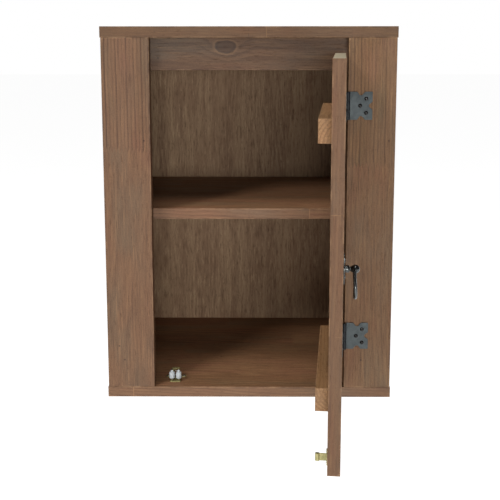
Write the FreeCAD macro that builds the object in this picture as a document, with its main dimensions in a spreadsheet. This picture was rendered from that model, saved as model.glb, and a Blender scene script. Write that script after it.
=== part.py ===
"""Hanging wall cabinet: boxed carcass with front stiles, one shelf and one inset door.

Frame: +Z up, +Y towards the wall, X along the width.  The origin is the middle of the two wall
screw holes, on the plane of the wall.  The door stands open at open_angle.
"""
import FreeCAD
import Part

import math
import os
import re

import Sketcher

doc = FreeCAD.newDocument("HangingWallCabinet")
sizes = doc.addObject("Spreadsheet::Sheet", "Sizes")

DRIVING = [
    # carcass
    ("overall_width", 400, "width over the ends of the top board"),
    ("overall_height", 520, "height over the top and bottom boards"),
    ("overall_depth", 322, "depth from the wall to the front face"),
    ("board_thick", 15, "top, bottom, side and shelf boards"),
    ("end_overhang", 1, "top and bottom boards past each side panel"),
    ("edge_round", 0.8, "rounding of the sanded board edges"),
    ("stile_width", 65, "front stile, seen from the front"),
    ("stile_thick", 18, "front stile, front to back"),
    ("rail_height", 44, "top rail that the door shuts in front of"),
    ("rail_thick", 15, "top rail, front to back"),
    ("shelf_height", 267, "underside of the cabinet to the top of the shelf"),
    ("shelf_setback", 28.5, "front face to the shelf's front edge"),
    ("shelf_back_gap", 0.5, "shelf's back edge to the back panel"),
    ("back_thick", 4, "plywood back"),
    ("rebate_depth", 7, "rebate for the back panel, into each board"),
    ("back_gap", 0.3, "back panel's edge to the rebate"),
    ("hanger_height", 50, "hanging rail under the top board"),
    ("hanger_thick", 15, "hanging rail, front to back"),
    ("wall_hole_drop", 40, "top of the cabinet to the wall screw holes"),
    ("wall_hole_inset", 50, "end of the top board to a wall screw hole"),
    ("wall_hole_radius", 3, "hole for a wall screw"),
    # dowels and nails
    ("dowel_radius", 3, "hardwood dowel"),
    ("dowel_fit", 0.05, "glue gap round a dowel"),
    ("dowel_end_gap", 0.5, "empty depth past each end of a dowel"),
    ("dowel_in_face", 9.5, "part of a dowel in the face of a board"),
    ("dowel_in_end", 20, "part of a dowel in the end of a board"),
    ("dowel_margin", 40, "outer dowels to the edges of a deep board"),
    ("stile_dowel_pitch", 32, "between the two dowels at a stile's end"),
    ("rail_dowel_pitch", 24, "between the two dowels at a rail's end"),
    ("nail_radius", 0.8, "back panel nail"),
    ("nail_length", 20, "back panel nail"),
    ("nail_head_radius", 2.2, "flat head let into the plywood"),
    ("nail_head_thick", 0.8, "flat head let into the plywood"),
    ("nail_fit", 0.05, "gap round a nail"),
    ("nail_margin", 60, "outer nails to the ends of a board"),
    # door
    ("open_angle", 84.5, "door's angle from shut, in degrees"),
    ("door_thick", 15, "door panel"),
    ("door_top_gap", 20.5, "door's top to the top board"),
    ("door_floor_gap", 1.5, "door's lower edge to the bottom board"),
    ("hinge_gap", 1.2, "door to stile on the hinge side"),
    ("lock_gap", 1.6, "door to stile on the lock side"),
    ("batten_height", 27.5, "batten across the door's inner face"),
    ("batten_thick", 15, "batten"),
    ("batten_free_inset", 21.7, "door's free edge to the batten's other end"),
    ("batten_inset", 15.5, "door's hinge edge to the batten's end"),
    ("lower_batten_height", 84, "underside of the cabinet to the lower batten"),
    ("upper_batten_drop", 93, "door's top to the underside of the upper batten"),
    ("batten_screw_margin", 30, "outer screws to the batten's ends"),
    ("batten_screw_length", 24, "batten screw under its head"),
    # butterfly hinges
    ("upper_hinge_drop", 70.5, "door's top to the upper hinge's middle"),
    ("lower_hinge_height", 91, "underside of the cabinet to the lower hinge's middle"),
    ("leaf_height", 38, "hinge leaf"),
    ("leaf_reach", 33.5, "hinge axis to the leaf's outer edge"),
    ("leaf_thick", 1.2, "hinge leaf"),
    ("knuckle_radius", 3, "hinge axis to the door's and stile's faces"),
    ("end_knuckle", 12, "length of the upper and of the lower knuckle"),
    ("knuckle_gap", 0.3, "between the knuckles of the two leaves"),
    ("pin_radius", 1.5, "hinge pin"),
    ("pin_fit", 0.05, "running gap round the hinge pin"),
    ("notch_reach", 18, "hinge axis to the upper and lower notches"),
    ("notch_mouth", 10.6, "notch, at the leaf's edge"),
    ("notch_radius", 3.3, "round bottom of a notch"),
    ("notch_depth", 5, "notch"),
    ("inner_screw_reach", 16.8, "hinge axis to the middle screw"),
    ("outer_screw_reach", 25, "hinge axis to the two outer screws"),
    ("outer_screw_rise", 9.6, "leaf's middle to an outer screw"),
    # small screws
    ("screw_radius", 1.5, "shank of a small screw"),
    ("screw_length", 12, "small screw under its head"),
    ("screw_fit", 0.1, "gap round a shank"),
    ("screw_head_radius", 2.7, "round head"),
    ("screw_head_height", 1.3, "round head"),
    ("screw_slot", 0.7, "width and depth of the slot"),
    # drop ring pull
    ("pull_inset", 28, "door's free edge to the pull"),
    ("plate_thick", 1.2, "pull backplate"),
    ("plate_disc_radius", 9, "middle disc of the backplate"),
    ("plate_lobe_radius", 6, "upper and lower lobe of the backplate"),
    ("plate_lobe_rise", 12, "pull's middle to a lobe's middle"),
    ("pull_screw_rise", 9.4, "pull's middle to a screw"),
    ("post_radius", 4.2, "foot of the post"),
    ("post_foot", 6.3, "door's face to the end of the foot"),
    ("post_neck_radius", 2.6, "neck of the post"),
    ("post_stud_radius", 2, "stud of the post, in the door"),
    ("post_stud_length", 10, "stud of the post, in the door"),
    ("ball_radius", 5, "ball at the end of the post"),
    ("ball_reach", 13.1, "door's face to the ball's middle"),
    ("ring_bar_radius", 1.5, "ring's bar, through the ball"),
    ("ring_bar_fit", 0.08, "gap round the bar"),
    ("ring_wire_radius", 2.2, "ring's arms and bow"),
    ("ring_shoulder", 7.8, "ball's middle to each end of the bar"),
    ("ring_bow_radius", 13, "middle line of the bow"),
    ("ring_drop", 32.4, "ball's middle to the middle line at the lowest point"),
    # roller catch and strike
    ("catch_inset", 26, "door's free edge to the middle of the catch"),
    ("roller_back", 7, "shut door's inner face to the roller pins"),
    ("roller_pitch", 9.6, "between the two roller pins"),
    ("roller_radius", 4, "nylon roller"),
    ("roller_low", 3.5, "cabinet floor to the roller"),
    ("roller_height", 10, "nylon roller"),
    ("hub_radius", 1.9, "collar on top of the roller"),
    ("hub_height", 3, "collar on top of the roller"),
    ("roller_pin_radius", 1.2, "roller pin and catch rivet"),
    ("roller_fit", 0.05, "running gap round a pin or rivet"),
    ("pin_cap", 0.6, "head of a roller pin or rivet"),
    ("catch_plate", 1, "sheet of the catch's base and arms"),
    ("arm_gap", 0.3, "arms to the base and to the strap"),
    ("pivot_back", 19, "shut door's inner face to the pivots of the arms"),
    ("pivot_pitch", 8, "between the two pivots"),
    ("arm_half_width", 2.3, "half of an arm's width"),
    ("barrel_radius", 2.2, "barrel of an arm, round its pivot"),
    ("strap_low", 14, "cabinet floor to the strap's underside"),
    ("strap_half_width", 5.75, "half of the strap's width"),
    ("strap_half_depth", 3.2, "half of the strap, front to back"),
    ("base_front", 2.5, "shut door's inner face to the base's front edge"),
    ("base_half_width", 7.5, "half of the base's width, under the rollers"),
    ("ear_half_width", 15, "half of the base's width, over the ears"),
    ("ear_half_depth", 4.5, "half of an ear, front to back"),
    ("ear_back", 25, "shut door's inner face to the catch screws"),
    ("catch_screw_reach", 11, "middle of the catch to a screw"),
    ("spring_wire", 0.4, "radius of the hairpin spring's wire"),
    ("spring_gap", 0.2, "spring to the barrels"),
    ("spring_rise", 8, "cabinet floor to the spring"),
    ("lug_half_depth", 1, "half of an arm's lug, front to back"),
    ("lug_back", 13, "shut door's inner face to the lugs"),
    ("strike_height", 27, "underside of the cabinet to the strike's middle"),
    ("strike_flange_width", 9, "strike's plate"),
    ("strike_flange_height", 20.4, "strike's plate"),
    ("strike_plate", 1, "strike's sheet"),
    ("strike_screw_rise", 7.7, "strike's middle to a screw"),
    ("tongue_height", 9, "strike's tongue, top to bottom"),
    ("neck_half", 0.45, "half of the tongue's neck"),
    ("head_radius", 2, "tongue's rounded head"),
    ("head_wall", 0.6, "sheet of the hollow head"),
    ("head_near", 11.1, "door's inner face to the head's near centre"),
    ("head_far", 12.4, "door's inner face to the head's far centre"),
]

NAMES = {name for name, _, _ in DRIVING}
WORD = re.compile(r"[a-z][a-z_]+")


def fill_sheet():
    """Write each driving size, with its alias and its meaning."""
    for row, (name, number, meaning) in enumerate(DRIVING, start=1):
        sizes.set(f"A{row}", meaning)
        sizes.set(f"B{row}", str(number))
        sizes.setAlias(f"B{row}", name)
    doc.recompute()


def linked(text):
    """Turn the size names in an expression into references to the sheet."""
    return WORD.sub(lambda found: "Sizes." + found[0] if found[0] in NAMES else found[0], text)


def number(text):
    """Present value of an expression."""
    return float(sizes.evalExpression(linked(text)))


def bind(thing, **expressions):
    """Bind properties to expressions; a double underscore in a name stands for a dot."""
    for name, text in expressions.items():
        thing.setExpression(name.replace("__", "."), linked(text))


# ---- places, all worked out from the sheet --------------------------------------------------

BASE = "(wall_hole_drop - overall_height)"
FLOOR = f"({BASE} + board_thick)"
CEILING = f"({BASE} + overall_height - board_thick)"
INSIDE_HEIGHT = "(overall_height - 2 * board_thick)"
SIDE_OUT = "(overall_width / 2 - end_overhang)"
SIDE_IN = f"({SIDE_OUT} - board_thick)"
SIDE_MIDDLE = f"({SIDE_OUT} - board_thick / 2)"
STILE_IN = f"({SIDE_OUT} - stile_width)"
STILE_MIDDLE = f"({SIDE_OUT} - stile_width / 2)"
FRONT = "(-overall_depth)"
STILE_BACK = f"({FRONT} + stile_thick)"
RAIL_MIDDLE = f"({STILE_BACK} + rail_thick / 2)"
BACK_FACE = "(-back_thick)"
HANGER_MIDDLE = f"({BACK_FACE} - hanger_thick / 2)"
SHELF_LOW = f"({BASE} + shelf_height - board_thick)"
SHELF_FRONT = f"({FRONT} + shelf_setback)"
SHELF_BACK = f"({BACK_FACE} - shelf_back_gap)"
REBATE_OUT = f"({SIDE_IN} + rebate_depth)"
NAIL_OUT = f"({SIDE_IN} + rebate_depth / 2)"

AXIS_X = f"({STILE_IN} - hinge_gap / 2)"
AXIS_Y = f"({FRONT} - knuckle_radius)"
DOOR_EDGE = "(hinge_gap / 2)"
DOOR_FREE = f"(2 * {STILE_IN} - lock_gap - {DOOR_EDGE})"
DOOR_FACE = "knuckle_radius"
DOOR_BACK = "(knuckle_radius + door_thick)"
BATTEN_BACK = f"({DOOR_BACK} + batten_thick)"
DOOR_LOW = f"({FLOOR} + door_floor_gap)"
DOOR_TOP = f"({CEILING} - door_top_gap)"
DOOR_HEIGHT = f"({INSIDE_HEIGHT} - door_floor_gap - door_top_gap)"
BATTEN_LENGTH = f"({DOOR_FREE} - {DOOR_EDGE} - batten_inset - batten_free_inset)"
DOOR_INSIDE = f"({FRONT} + door_thick)"
LEAF_FACE = "(knuckle_radius - leaf_thick)"
HINGES = {"upper": f"({DOOR_TOP} - upper_hinge_drop)", "lower": f"({BASE} + lower_hinge_height)"}
BATTENS = {"upper": f"({DOOR_TOP} - upper_batten_drop)", "lower": f"({BASE} + lower_batten_height)"}
PULL_X = f"(pull_inset - {DOOR_FREE})"
PULL_Z = f"(({DOOR_LOW} + {DOOR_TOP}) / 2)"
BALL_Y = "(knuckle_radius - ball_reach)"
STRIKE_X = f"(catch_inset - {DOOR_FREE})"
STRIKE_Z = f"({BASE} + strike_height)"
CATCH_X = f"({AXIS_X} + {STRIKE_X})"
ARM_LOW = f"({FLOOR} + catch_plate + arm_gap)"
ARM_REACH = "(pivot_back - roller_back)"
ROLLER_LOW = f"({FLOOR} + roller_low)"
HOLE = "(dowel_radius + dowel_fit)"
FACE_HOLE = "(dowel_in_face + dowel_end_gap)"
END_HOLE = "(dowel_in_end + dowel_end_gap)"
SCREW_HOLE = "(screw_radius + screw_fit)"
SIDES = {"left": -1, "right": 1}


# ---- tools of the drawing board ---------------------------------------------------------------

NORMALS = {"XY": 1, "XZ": -1, "YZ": 1}


def fixed_place(thing, x="0", y="0", z="0"):
    """Place a piece of the carcass."""
    bind(thing, Placement__Base__x=x, Placement__Base__y=y, Placement__Base__z=z)
    return thing


def door_place(thing, x="0", y="0", z="0"):
    """Place a piece of the door: x and y count from the hinge axis with the door shut."""
    turn = FreeCAD.Rotation(FreeCAD.Vector(0, 0, 1), number("open_angle"))
    thing.Placement = FreeCAD.Placement(FreeCAD.Vector(), turn)
    across = f"({x}) * cos(open_angle * 1 deg) - ({y}) * sin(open_angle * 1 deg)"
    along = f"({x}) * sin(open_angle * 1 deg) + ({y}) * cos(open_angle * 1 deg)"
    fixed_place(thing, f"{AXIS_X} + {across}", f"{AXIS_Y} + {along}", z)
    bind(thing, Placement__Rotation__Angle="open_angle")
    return thing


def body(label):
    """Empty body for one sub-part, or for a set of the same fastener."""
    made = doc.addObject("PartDesign::Body", label)
    made.Label = label
    return made


def sketch(owner, plane, at="0"):
    """Sketch on one of the body's origin planes, moved along that plane's axis to a place."""
    drawn = owner.newObject("Sketcher::SketchObject", "Sketch")
    role = plane + "_Plane"
    support = next(item for item in owner.Origin.OriginFeatures if item.Role == role)
    drawn.AttachmentSupport = [(support, "")]
    drawn.MapMode = "FlatFace"
    bind(drawn, AttachmentOffset__Base__z=f"{NORMALS[plane]} * ({at})")
    return drawn


def draw_polygon(drawn, corners):
    """Closed outline of straight lines through corners given as pairs of expressions."""
    points = [FreeCAD.Vector(number(x), number(y), 0) for x, y in corners]
    lines = []
    for start, end in zip(points, points[1:] + points[:1]):
        lines.append(drawn.addGeometry(Part.LineSegment(start, end)))
    for here, after in zip(lines, lines[1:] + lines[:1]):
        drawn.addConstraint(Sketcher.Constraint("Coincident", here, 2, after, 1))
    for line, (x, y), point in zip(lines, corners, points):
        for kind, text, value in (("DistanceX", x, point.x), ("DistanceY", y, point.y)):
            index = drawn.addConstraint(Sketcher.Constraint(kind, line, 1, value))
            drawn.setExpression(f"Constraints[{index}]", linked(text))


def draw_box(drawn, x_low, y_low, x_high, y_high):
    """Rectangle between two corners."""
    draw_polygon(drawn, [(x_low, y_low), (x_high, y_low), (x_high, y_high), (x_low, y_high)])


def draw_circles(drawn, centres, radius):
    """Equal circles at centres given as pairs of expressions."""
    up = FreeCAD.Vector(0, 0, 1)
    for x, y in centres:
        middle = FreeCAD.Vector(number(x), number(y), 0)
        ring = drawn.addGeometry(Part.Circle(middle, up, number(radius)))
        for kind, text, value in (("DistanceX", x, middle.x), ("DistanceY", y, middle.y)):
            index = drawn.addConstraint(Sketcher.Constraint(kind, ring, 3, value))
            drawn.setExpression(f"Constraints[{index}]", linked(text))
        index = drawn.addConstraint(Sketcher.Constraint("Radius", ring, number(radius)))
        drawn.setExpression(f"Constraints[{index}]", linked(radius))


def pad(owner, drawn, plane, length, way=1):
    """Raise a sketch along the plane's axis; way is +1 or -1."""
    made = owner.newObject("PartDesign::Pad", "Pad")
    made.Profile = drawn
    made.Reversed = way != NORMALS[plane]
    bind(made, Length=length)
    owner.Tip = made
    doc.recompute()
    return made


def pocket(owner, drawn, plane, length, way=1):
    """Cut a sketch into the body along the plane's axis, and see that it cuts."""
    before = owner.Shape.Volume
    made = owner.newObject("PartDesign::Pocket", "Pocket")
    made.Profile = drawn
    made.Reversed = way == NORMALS[plane]
    bind(made, Length=length)
    owner.Tip = made
    doc.recompute()
    if owner.Shape.Volume >= before - 1e-3:
        raise RuntimeError(f"a pocket in {owner.Label} cuts nothing")
    return made


def block(owner, plane, at, corners, length, way=1):
    """Pad of a rectangle."""
    drawn = sketch(owner, plane, at)
    draw_box(drawn, *corners)
    return pad(owner, drawn, plane, length, way)


def trench(owner, plane, at, corners, length, way=1):
    """Pocket of a rectangle."""
    drawn = sketch(owner, plane, at)
    draw_box(drawn, *corners)
    return pocket(owner, drawn, plane, length, way)


def rods(owner, plane, at, centres, radius, length, way=1):
    """Pad of circles."""
    drawn = sketch(owner, plane, at)
    draw_circles(drawn, centres, radius)
    return pad(owner, drawn, plane, length, way)


def holes(owner, plane, at, centres, radius, length, way=1):
    """Pocket of circles."""
    drawn = sketch(owner, plane, at)
    draw_circles(drawn, centres, radius)
    return pocket(owner, drawn, plane, length, way)


def round_edges(owner, radius, wanted=None):
    """Fillet the body's edges, or only the wanted ones."""
    last = owner.Tip
    names = [f"Edge{i}" for i, edge in enumerate(last.Shape.Edges, start=1)
             if wanted is None or wanted(edge)]
    made = owner.newObject("PartDesign::Fillet", "Fillet")
    made.Base = (last, names)
    bind(made, Radius=radius)
    owner.Tip = made
    doc.recompute()
    return made


def primitive(kind, name, **expressions):
    """Part primitive with bound sizes; its name only serves the booleans that use it."""
    made = doc.addObject("Part::" + kind, name)
    bind(made, **expressions)
    return made


def lying(thing, axis):
    """Turn a primitive so that its own Z points along X, Y or -Y."""
    turns = {"X": (FreeCAD.Vector(0, 1, 0), 90), "Y": (FreeCAD.Vector(1, 0, 0), -90),
             "-Y": (FreeCAD.Vector(1, 0, 0), 90)}
    thing.Placement = FreeCAD.Placement(FreeCAD.Vector(), FreeCAD.Rotation(*turns[axis]))
    return thing


def fused(label, pieces):
    """Union of primitives, as one sub-part."""
    made = doc.addObject("Part::MultiFuse", label)
    made.Shapes = pieces
    made.Refine = True
    made.Label = label
    return made


def screw_set(label, plane, face, centres, way, length="screw_length",
              head="screw_head_radius", rise="screw_head_height"):
    """Round-head slotted screws; way is the direction that they are driven in."""
    made = body(label)
    rods(made, plane, face, centres, "screw_radius", length, way)
    rods(made, plane, face, centres, head, rise, -way)
    rim = number(head)
    crown = number(face) - way * number(rise)
    axis = {"XY": "z", "XZ": "y", "YZ": "x"}[plane]

    def on_crown(edge):
        curve = edge.Curve
        if not isinstance(curve, Part.Circle) or abs(curve.Radius - rim) > 1e-4:
            return False
        return abs(getattr(curve.Center, axis) - crown) < 1e-4

    round_edges(made, f"({rise}) * 0.8", on_crown)
    for x, y in centres:
        half = "screw_slot / 2"
        corners = (f"{x} - {head}", f"{y} - {half}", f"{x} + {head}", f"{y} + {half}")
        trench(made, plane, f"{face} - {way} * ({rise})", corners, "screw_slot", way)
    return made


# ---- carcass ------------------------------------------------------------------------------------

def deep_rows(front, back):
    """Three dowel places along a deep board."""
    return [f"({front} + dowel_margin)", f"(({front} + {back}) / 2)", f"({back} - dowel_margin)"]


SIDE_ROWS = deep_rows(STILE_BACK, "0")
SHELF_ROWS = deep_rows(SHELF_FRONT, SHELF_BACK)
SIDE_DOWELS = [(f"{s} * {SIDE_MIDDLE}", y) for s in (-1, 1) for y in SIDE_ROWS]
STILE_DOWELS = [(f"{s} * ({STILE_MIDDLE} + {k} * stile_dowel_pitch / 2)", f"({FRONT} + stile_thick / 2)")
                for s in (-1, 1) for k in (-1, 1)]
RAIL_LEVELS = [f"({CEILING} - rail_height / 2 + {k} * rail_dowel_pitch / 2)" for k in (-1, 1)]
HANGER_LEVELS = [f"({CEILING} - hanger_height / 2 + {k} * rail_dowel_pitch / 2)" for k in (-1, 1)]
CROSS_DOWELS = {
    "top_rail": [(RAIL_MIDDLE, z) for z in RAIL_LEVELS],
    "hanging_rail": [(HANGER_MIDDLE, z) for z in HANGER_LEVELS],
    "shelf": [(y, f"({SHELF_LOW} + board_thick / 2)") for y in SHELF_ROWS],
}
NAIL_STEPS = [f"({FLOOR} + nail_margin + {k} / 3 * ({INSIDE_HEIGHT} - 2 * nail_margin))" for k in range(4)]
SIDE_NAILS = [(f"{s} * {NAIL_OUT}", z) for s in (-1, 1) for z in NAIL_STEPS]
BOARD_NAILS_X = [f"{k} * ({SIDE_IN} - nail_margin)" for k in (-1, 0, 1)]
BOARD_NAILS = {"bottom_board": [(x, f"({FLOOR} - rebate_depth / 2)") for x in BOARD_NAILS_X],
               "top_board": [(x, f"({CEILING} + rebate_depth / 2)") for x in BOARD_NAILS_X]}
NAIL_BITE = "(nail_length - back_thick + nail_head_thick + dowel_end_gap)"
CATCH_SCREWS = [(f"({CATCH_X} + {k} * catch_screw_reach)", f"({DOOR_INSIDE} + ear_back)") for k in (-1, 1)]


def end_board(label, low, inner, way):
    """Top or bottom board; inner is the height of its inner face, way points into the cabinet."""
    made = body(label)
    half = "overall_width / 2"
    block(made, "XY", low, (f"-{half}", FRONT, half, "0"), "board_thick")
    round_edges(made, "edge_round")
    corners = (f"-{REBATE_OUT}", BACK_FACE, REBATE_OUT, "1")
    trench(made, "XY", inner, corners, "rebate_depth", -way)
    holes(made, "XY", inner, SIDE_DOWELS + STILE_DOWELS, HOLE, FACE_HOLE, -way)
    holes(made, "XZ", BACK_FACE, BOARD_NAILS[label], "nail_radius + nail_fit", NAIL_BITE, -1)
    return made


def side_panel(label, side):
    """Side panel between the boards, behind its stile."""
    made = body(label)
    outer, inner = f"{side} * {SIDE_OUT}", f"{side} * {SIDE_IN}"
    block(made, "XY", FLOOR, (inner, STILE_BACK, outer, "0"), INSIDE_HEIGHT)
    round_edges(made, "edge_round")
    corners = (f"{side} * ({SIDE_IN} - 1)", BACK_FACE, f"{side} * {REBATE_OUT}", "1")
    trench(made, "XY", FLOOR, corners, INSIDE_HEIGHT)
    ends = [(x, y) for x, y in SIDE_DOWELS if x.startswith(str(side) + " ")]
    holes(made, "XY", FLOOR, ends, HOLE, END_HOLE)
    holes(made, "XY", CEILING, ends, HOLE, END_HOLE, -1)
    for spots in CROSS_DOWELS.values():
        holes(made, "YZ", inner, spots, HOLE, FACE_HOLE, side)
    nails = [(x, z) for x, z in SIDE_NAILS if x.startswith(str(side) + " ")]
    holes(made, "XZ", BACK_FACE, nails, "nail_radius + nail_fit", NAIL_BITE, -1)
    return made


def front_stile(label, side):
    """Front stile, glued to its side panel's front edge."""
    made = body(label)
    outer, inner = f"{side} * {SIDE_OUT}", f"{side} * {STILE_IN}"
    block(made, "XY", FLOOR, (inner, FRONT, outer, STILE_BACK), INSIDE_HEIGHT)
    round_edges(made, "edge_round")
    ends = [(x, y) for x, y in STILE_DOWELS if x.startswith(str(side) + " ")]
    holes(made, "XY", FLOOR, ends, HOLE, END_HOLE)
    holes(made, "XY", CEILING, ends, HOLE, END_HOLE, -1)
    return made


def cross_board(label, low, height, front, back):
    """Board from side panel to side panel, dowelled at both ends."""
    made = body(label)
    block(made, "XY", low, (f"-{SIDE_IN}", front, SIDE_IN, back), height)
    round_edges(made, "edge_round")
    for side in SIDES.values():
        holes(made, "YZ", f"{side} * {SIDE_IN}", CROSS_DOWELS[label], HOLE, END_HOLE, -side)
    return made


def wall_holes(owner, face, depth):
    """The two holes for the wall screws, on the level of the origin."""
    spots = [(f"{k} * (overall_width / 2 - wall_hole_inset)", "0") for k in (-1, 1)]
    holes(owner, "XZ", face, spots, "wall_hole_radius", depth)


def back_panel():
    """Plywood back, nailed into the rebates."""
    made = body("back_panel")
    half = f"({REBATE_OUT} - back_gap)"
    low = f"{FLOOR} - rebate_depth + back_gap"
    high = f"{CEILING} + rebate_depth - back_gap"
    block(made, "XZ", BACK_FACE, (f"-{half}", low, half, high), "back_thick")
    wall_holes(made, BACK_FACE, "back_thick")
    spots = SIDE_NAILS + BOARD_NAILS["bottom_board"] + BOARD_NAILS["top_board"]
    holes(made, "XZ", BACK_FACE, spots, "nail_radius + nail_fit", "back_thick")
    holes(made, "XZ", "0", spots, "nail_head_radius + nail_fit", "nail_head_thick", -1)
    return made


def back_nails():
    """Nails of the back panel, heads let in flush."""
    made = body("back_panel_nails")
    spots = SIDE_NAILS + BOARD_NAILS["bottom_board"] + BOARD_NAILS["top_board"]
    rods(made, "XZ", "-nail_head_thick", spots, "nail_radius", "nail_length", -1)
    rods(made, "XZ", "-nail_head_thick", spots, "nail_head_radius", "nail_head_thick")
    return made


def dowels_upright(label, spots):
    """Dowels between the end boards and what stands between them."""
    made = body(label)
    length = "dowel_in_face + dowel_in_end"
    rods(made, "XY", f"{FLOOR} - dowel_in_face", spots, "dowel_radius", length)
    rods(made, "XY", f"{CEILING} + dowel_in_face", spots, "dowel_radius", length, -1)
    return made


def dowels_across(label, spots):
    """Dowels between the side panels and a cross board."""
    made = body(label)
    length = "dowel_in_face + dowel_in_end"
    for side in SIDES.values():
        start = f"{side} * ({SIDE_IN} + dowel_in_face)"
        rods(made, "YZ", start, spots, "dowel_radius", length, -side)
    return made


def build_carcass():
    """Everything that hangs still on the wall, but for the hardware."""
    end_board("top_board", CEILING, CEILING, -1)
    bottom = end_board("bottom_board", BASE, FLOOR, 1)
    holes(bottom, "XY", FLOOR, CATCH_SCREWS, SCREW_HOLE, "screw_length", -1)
    stiles = {}
    for name, side in SIDES.items():
        side_panel(name + "_side_panel", side)
        stiles[name] = front_stile(name + "_stile", side)
    holes(stiles["right"], "XZ", FRONT, hinge_screws(1, AXIS_X), SCREW_HOLE, "screw_length")
    cross_board("top_rail", f"{CEILING} - rail_height", "rail_height", STILE_BACK,
                f"{STILE_BACK} + rail_thick")
    hanger = cross_board("hanging_rail", f"{CEILING} - hanger_height", "hanger_height",
                         f"{BACK_FACE} - hanger_thick", BACK_FACE)
    wall_holes(hanger, f"{BACK_FACE} - hanger_thick", "hanger_thick")
    cross_board("shelf", SHELF_LOW, "board_thick", SHELF_FRONT, SHELF_BACK)
    back_panel()
    back_nails()
    dowels_upright("side_panel_dowels", SIDE_DOWELS)
    dowels_upright("stile_dowels", STILE_DOWELS)
    for label, spots in CROSS_DOWELS.items():
        dowels_across(label + "_dowels", spots)


# ---- butterfly hinges ---------------------------------------------------------------------------

def leaf_screws(side):
    """Three screw places of a leaf, from its own middle on the hinge axis."""
    return [(f"{side} * inner_screw_reach", "0"),
            (f"{side} * outer_screw_reach", "outer_screw_rise"),
            (f"{side} * outer_screw_reach", "-outer_screw_rise")]


def hinge_screws(side, axis_x):
    """Screw places of both hinges."""
    return [(f"{axis_x} + {x}", f"{level} + {z}") for level in HINGES.values() for x, z in leaf_screws(side)]


def hinge_leaf(label, side, own, others):
    """Notched leaf; own and others are the (low, high) knuckle stretches of the two leaves."""
    made = body(label)
    half = "leaf_height / 2"
    reach = f"{side} * leaf_reach"
    block(made, "XZ", LEAF_FACE, ("0", f"-{half}", reach, half), "leaf_thick")
    for low, high in own:
        rods(made, "XY", low, [("0", "0")], "knuckle_radius", f"{high} - {low}")
    clear = f"{side} * (knuckle_radius + knuckle_gap)"
    for low, high in others:
        corners = (f"{-side} * 1", f"{low} - knuckle_gap", clear, f"{high} + knuckle_gap")
        trench(made, "XZ", LEAF_FACE, corners, "leaf_thick")
    holes(made, "XY", f"-{half}", [("0", "0")], "pin_radius + pin_fit", "leaf_height")
    centres = [(f"{side} * notch_reach", f"{k} * ({half} - notch_depth + notch_radius)") for k in (-1, 1)]
    centres.append((f"{side} * (leaf_reach - notch_depth + notch_radius)", "0"))
    holes(made, "XZ", LEAF_FACE, centres, "notch_radius", "leaf_thick")
    shoulder = f"({half} - notch_depth + notch_radius)"
    for k in (-1, 1):
        drawn = sketch(made, "XZ", LEAF_FACE)
        middle = f"{side} * notch_reach"
        draw_polygon(drawn, [(f"{middle} - notch_mouth / 2", f"{k} * {half}"),
                             (f"{middle} - notch_radius", f"{k} * {shoulder}"),
                             (f"{middle} + notch_radius", f"{k} * {shoulder}"),
                             (f"{middle} + notch_mouth / 2", f"{k} * {half}")])
        pocket(made, drawn, "XZ", "leaf_thick")
    drawn = sketch(made, "XZ", LEAF_FACE)
    inner = f"{side} * (leaf_reach - notch_depth + notch_radius)"
    draw_polygon(drawn, [(reach, "-notch_mouth / 2"), (inner, "-notch_radius"),
                         (inner, "notch_radius"), (reach, "notch_mouth / 2")])
    pocket(made, drawn, "XZ", "leaf_thick")
    holes(made, "XZ", LEAF_FACE, leaf_screws(side), SCREW_HOLE, "leaf_thick")
    return made


def build_hinges():
    """Two three-knuckle hinges: the stile's leaf holds the pin, the door's leaf turns on it."""
    half, step = "(leaf_height / 2)", "end_knuckle"
    outer = [(f"(-{half})", f"({step} - {half})"), (f"({half} - {step})", half)]
    middle = [(f"({step} - {half} + knuckle_gap)", f"({half} - {step} - knuckle_gap)")]
    clear_middle = [(f"({step} - {half})", f"({half} - {step})")]
    for name, level in HINGES.items():
        frame_leaf = hinge_leaf(name + "_hinge_frame_leaf", 1, outer, clear_middle)
        fixed_place(frame_leaf, AXIS_X, AXIS_Y, level)
        door_leaf = hinge_leaf(name + "_hinge_door_leaf", -1, middle, outer)
        door_place(door_leaf, "0", "0", level)
        pin = primitive("Cylinder", name + "_hinge_pin", Radius="pin_radius", Height="leaf_height")
        pin.Label = name + "_hinge_pin"
        fixed_place(pin, AXIS_X, AXIS_Y, f"{level} - {half}")
    screw_set("frame_leaf_screws", "XZ", f"{FRONT} - leaf_thick", hinge_screws(1, AXIS_X), 1)
    door_place(screw_set("door_leaf_screws", "XZ", LEAF_FACE, hinge_screws(-1, "0"), 1))


# ---- door ---------------------------------------------------------------------------------------

def batten_screws(level):
    """Three screw places along a batten."""
    start = f"(-({DOOR_EDGE} + batten_inset + batten_screw_margin))"
    span = f"({BATTEN_LENGTH} - 2 * batten_screw_margin)"
    return [(f"({start} - {k} * {span} / 2)", f"({level} + batten_height / 2)") for k in range(3)]


PULL_SCREWS = [(PULL_X, f"({PULL_Z} + {k} * pull_screw_rise)") for k in (-1, 1)]
STRIKE_SCREWS = [(STRIKE_X, f"({STRIKE_Z} + {k} * strike_screw_rise)") for k in (-1, 1)]
BATTEN_SCREWS = [spot for level in BATTENS.values() for spot in batten_screws(level)]


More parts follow.
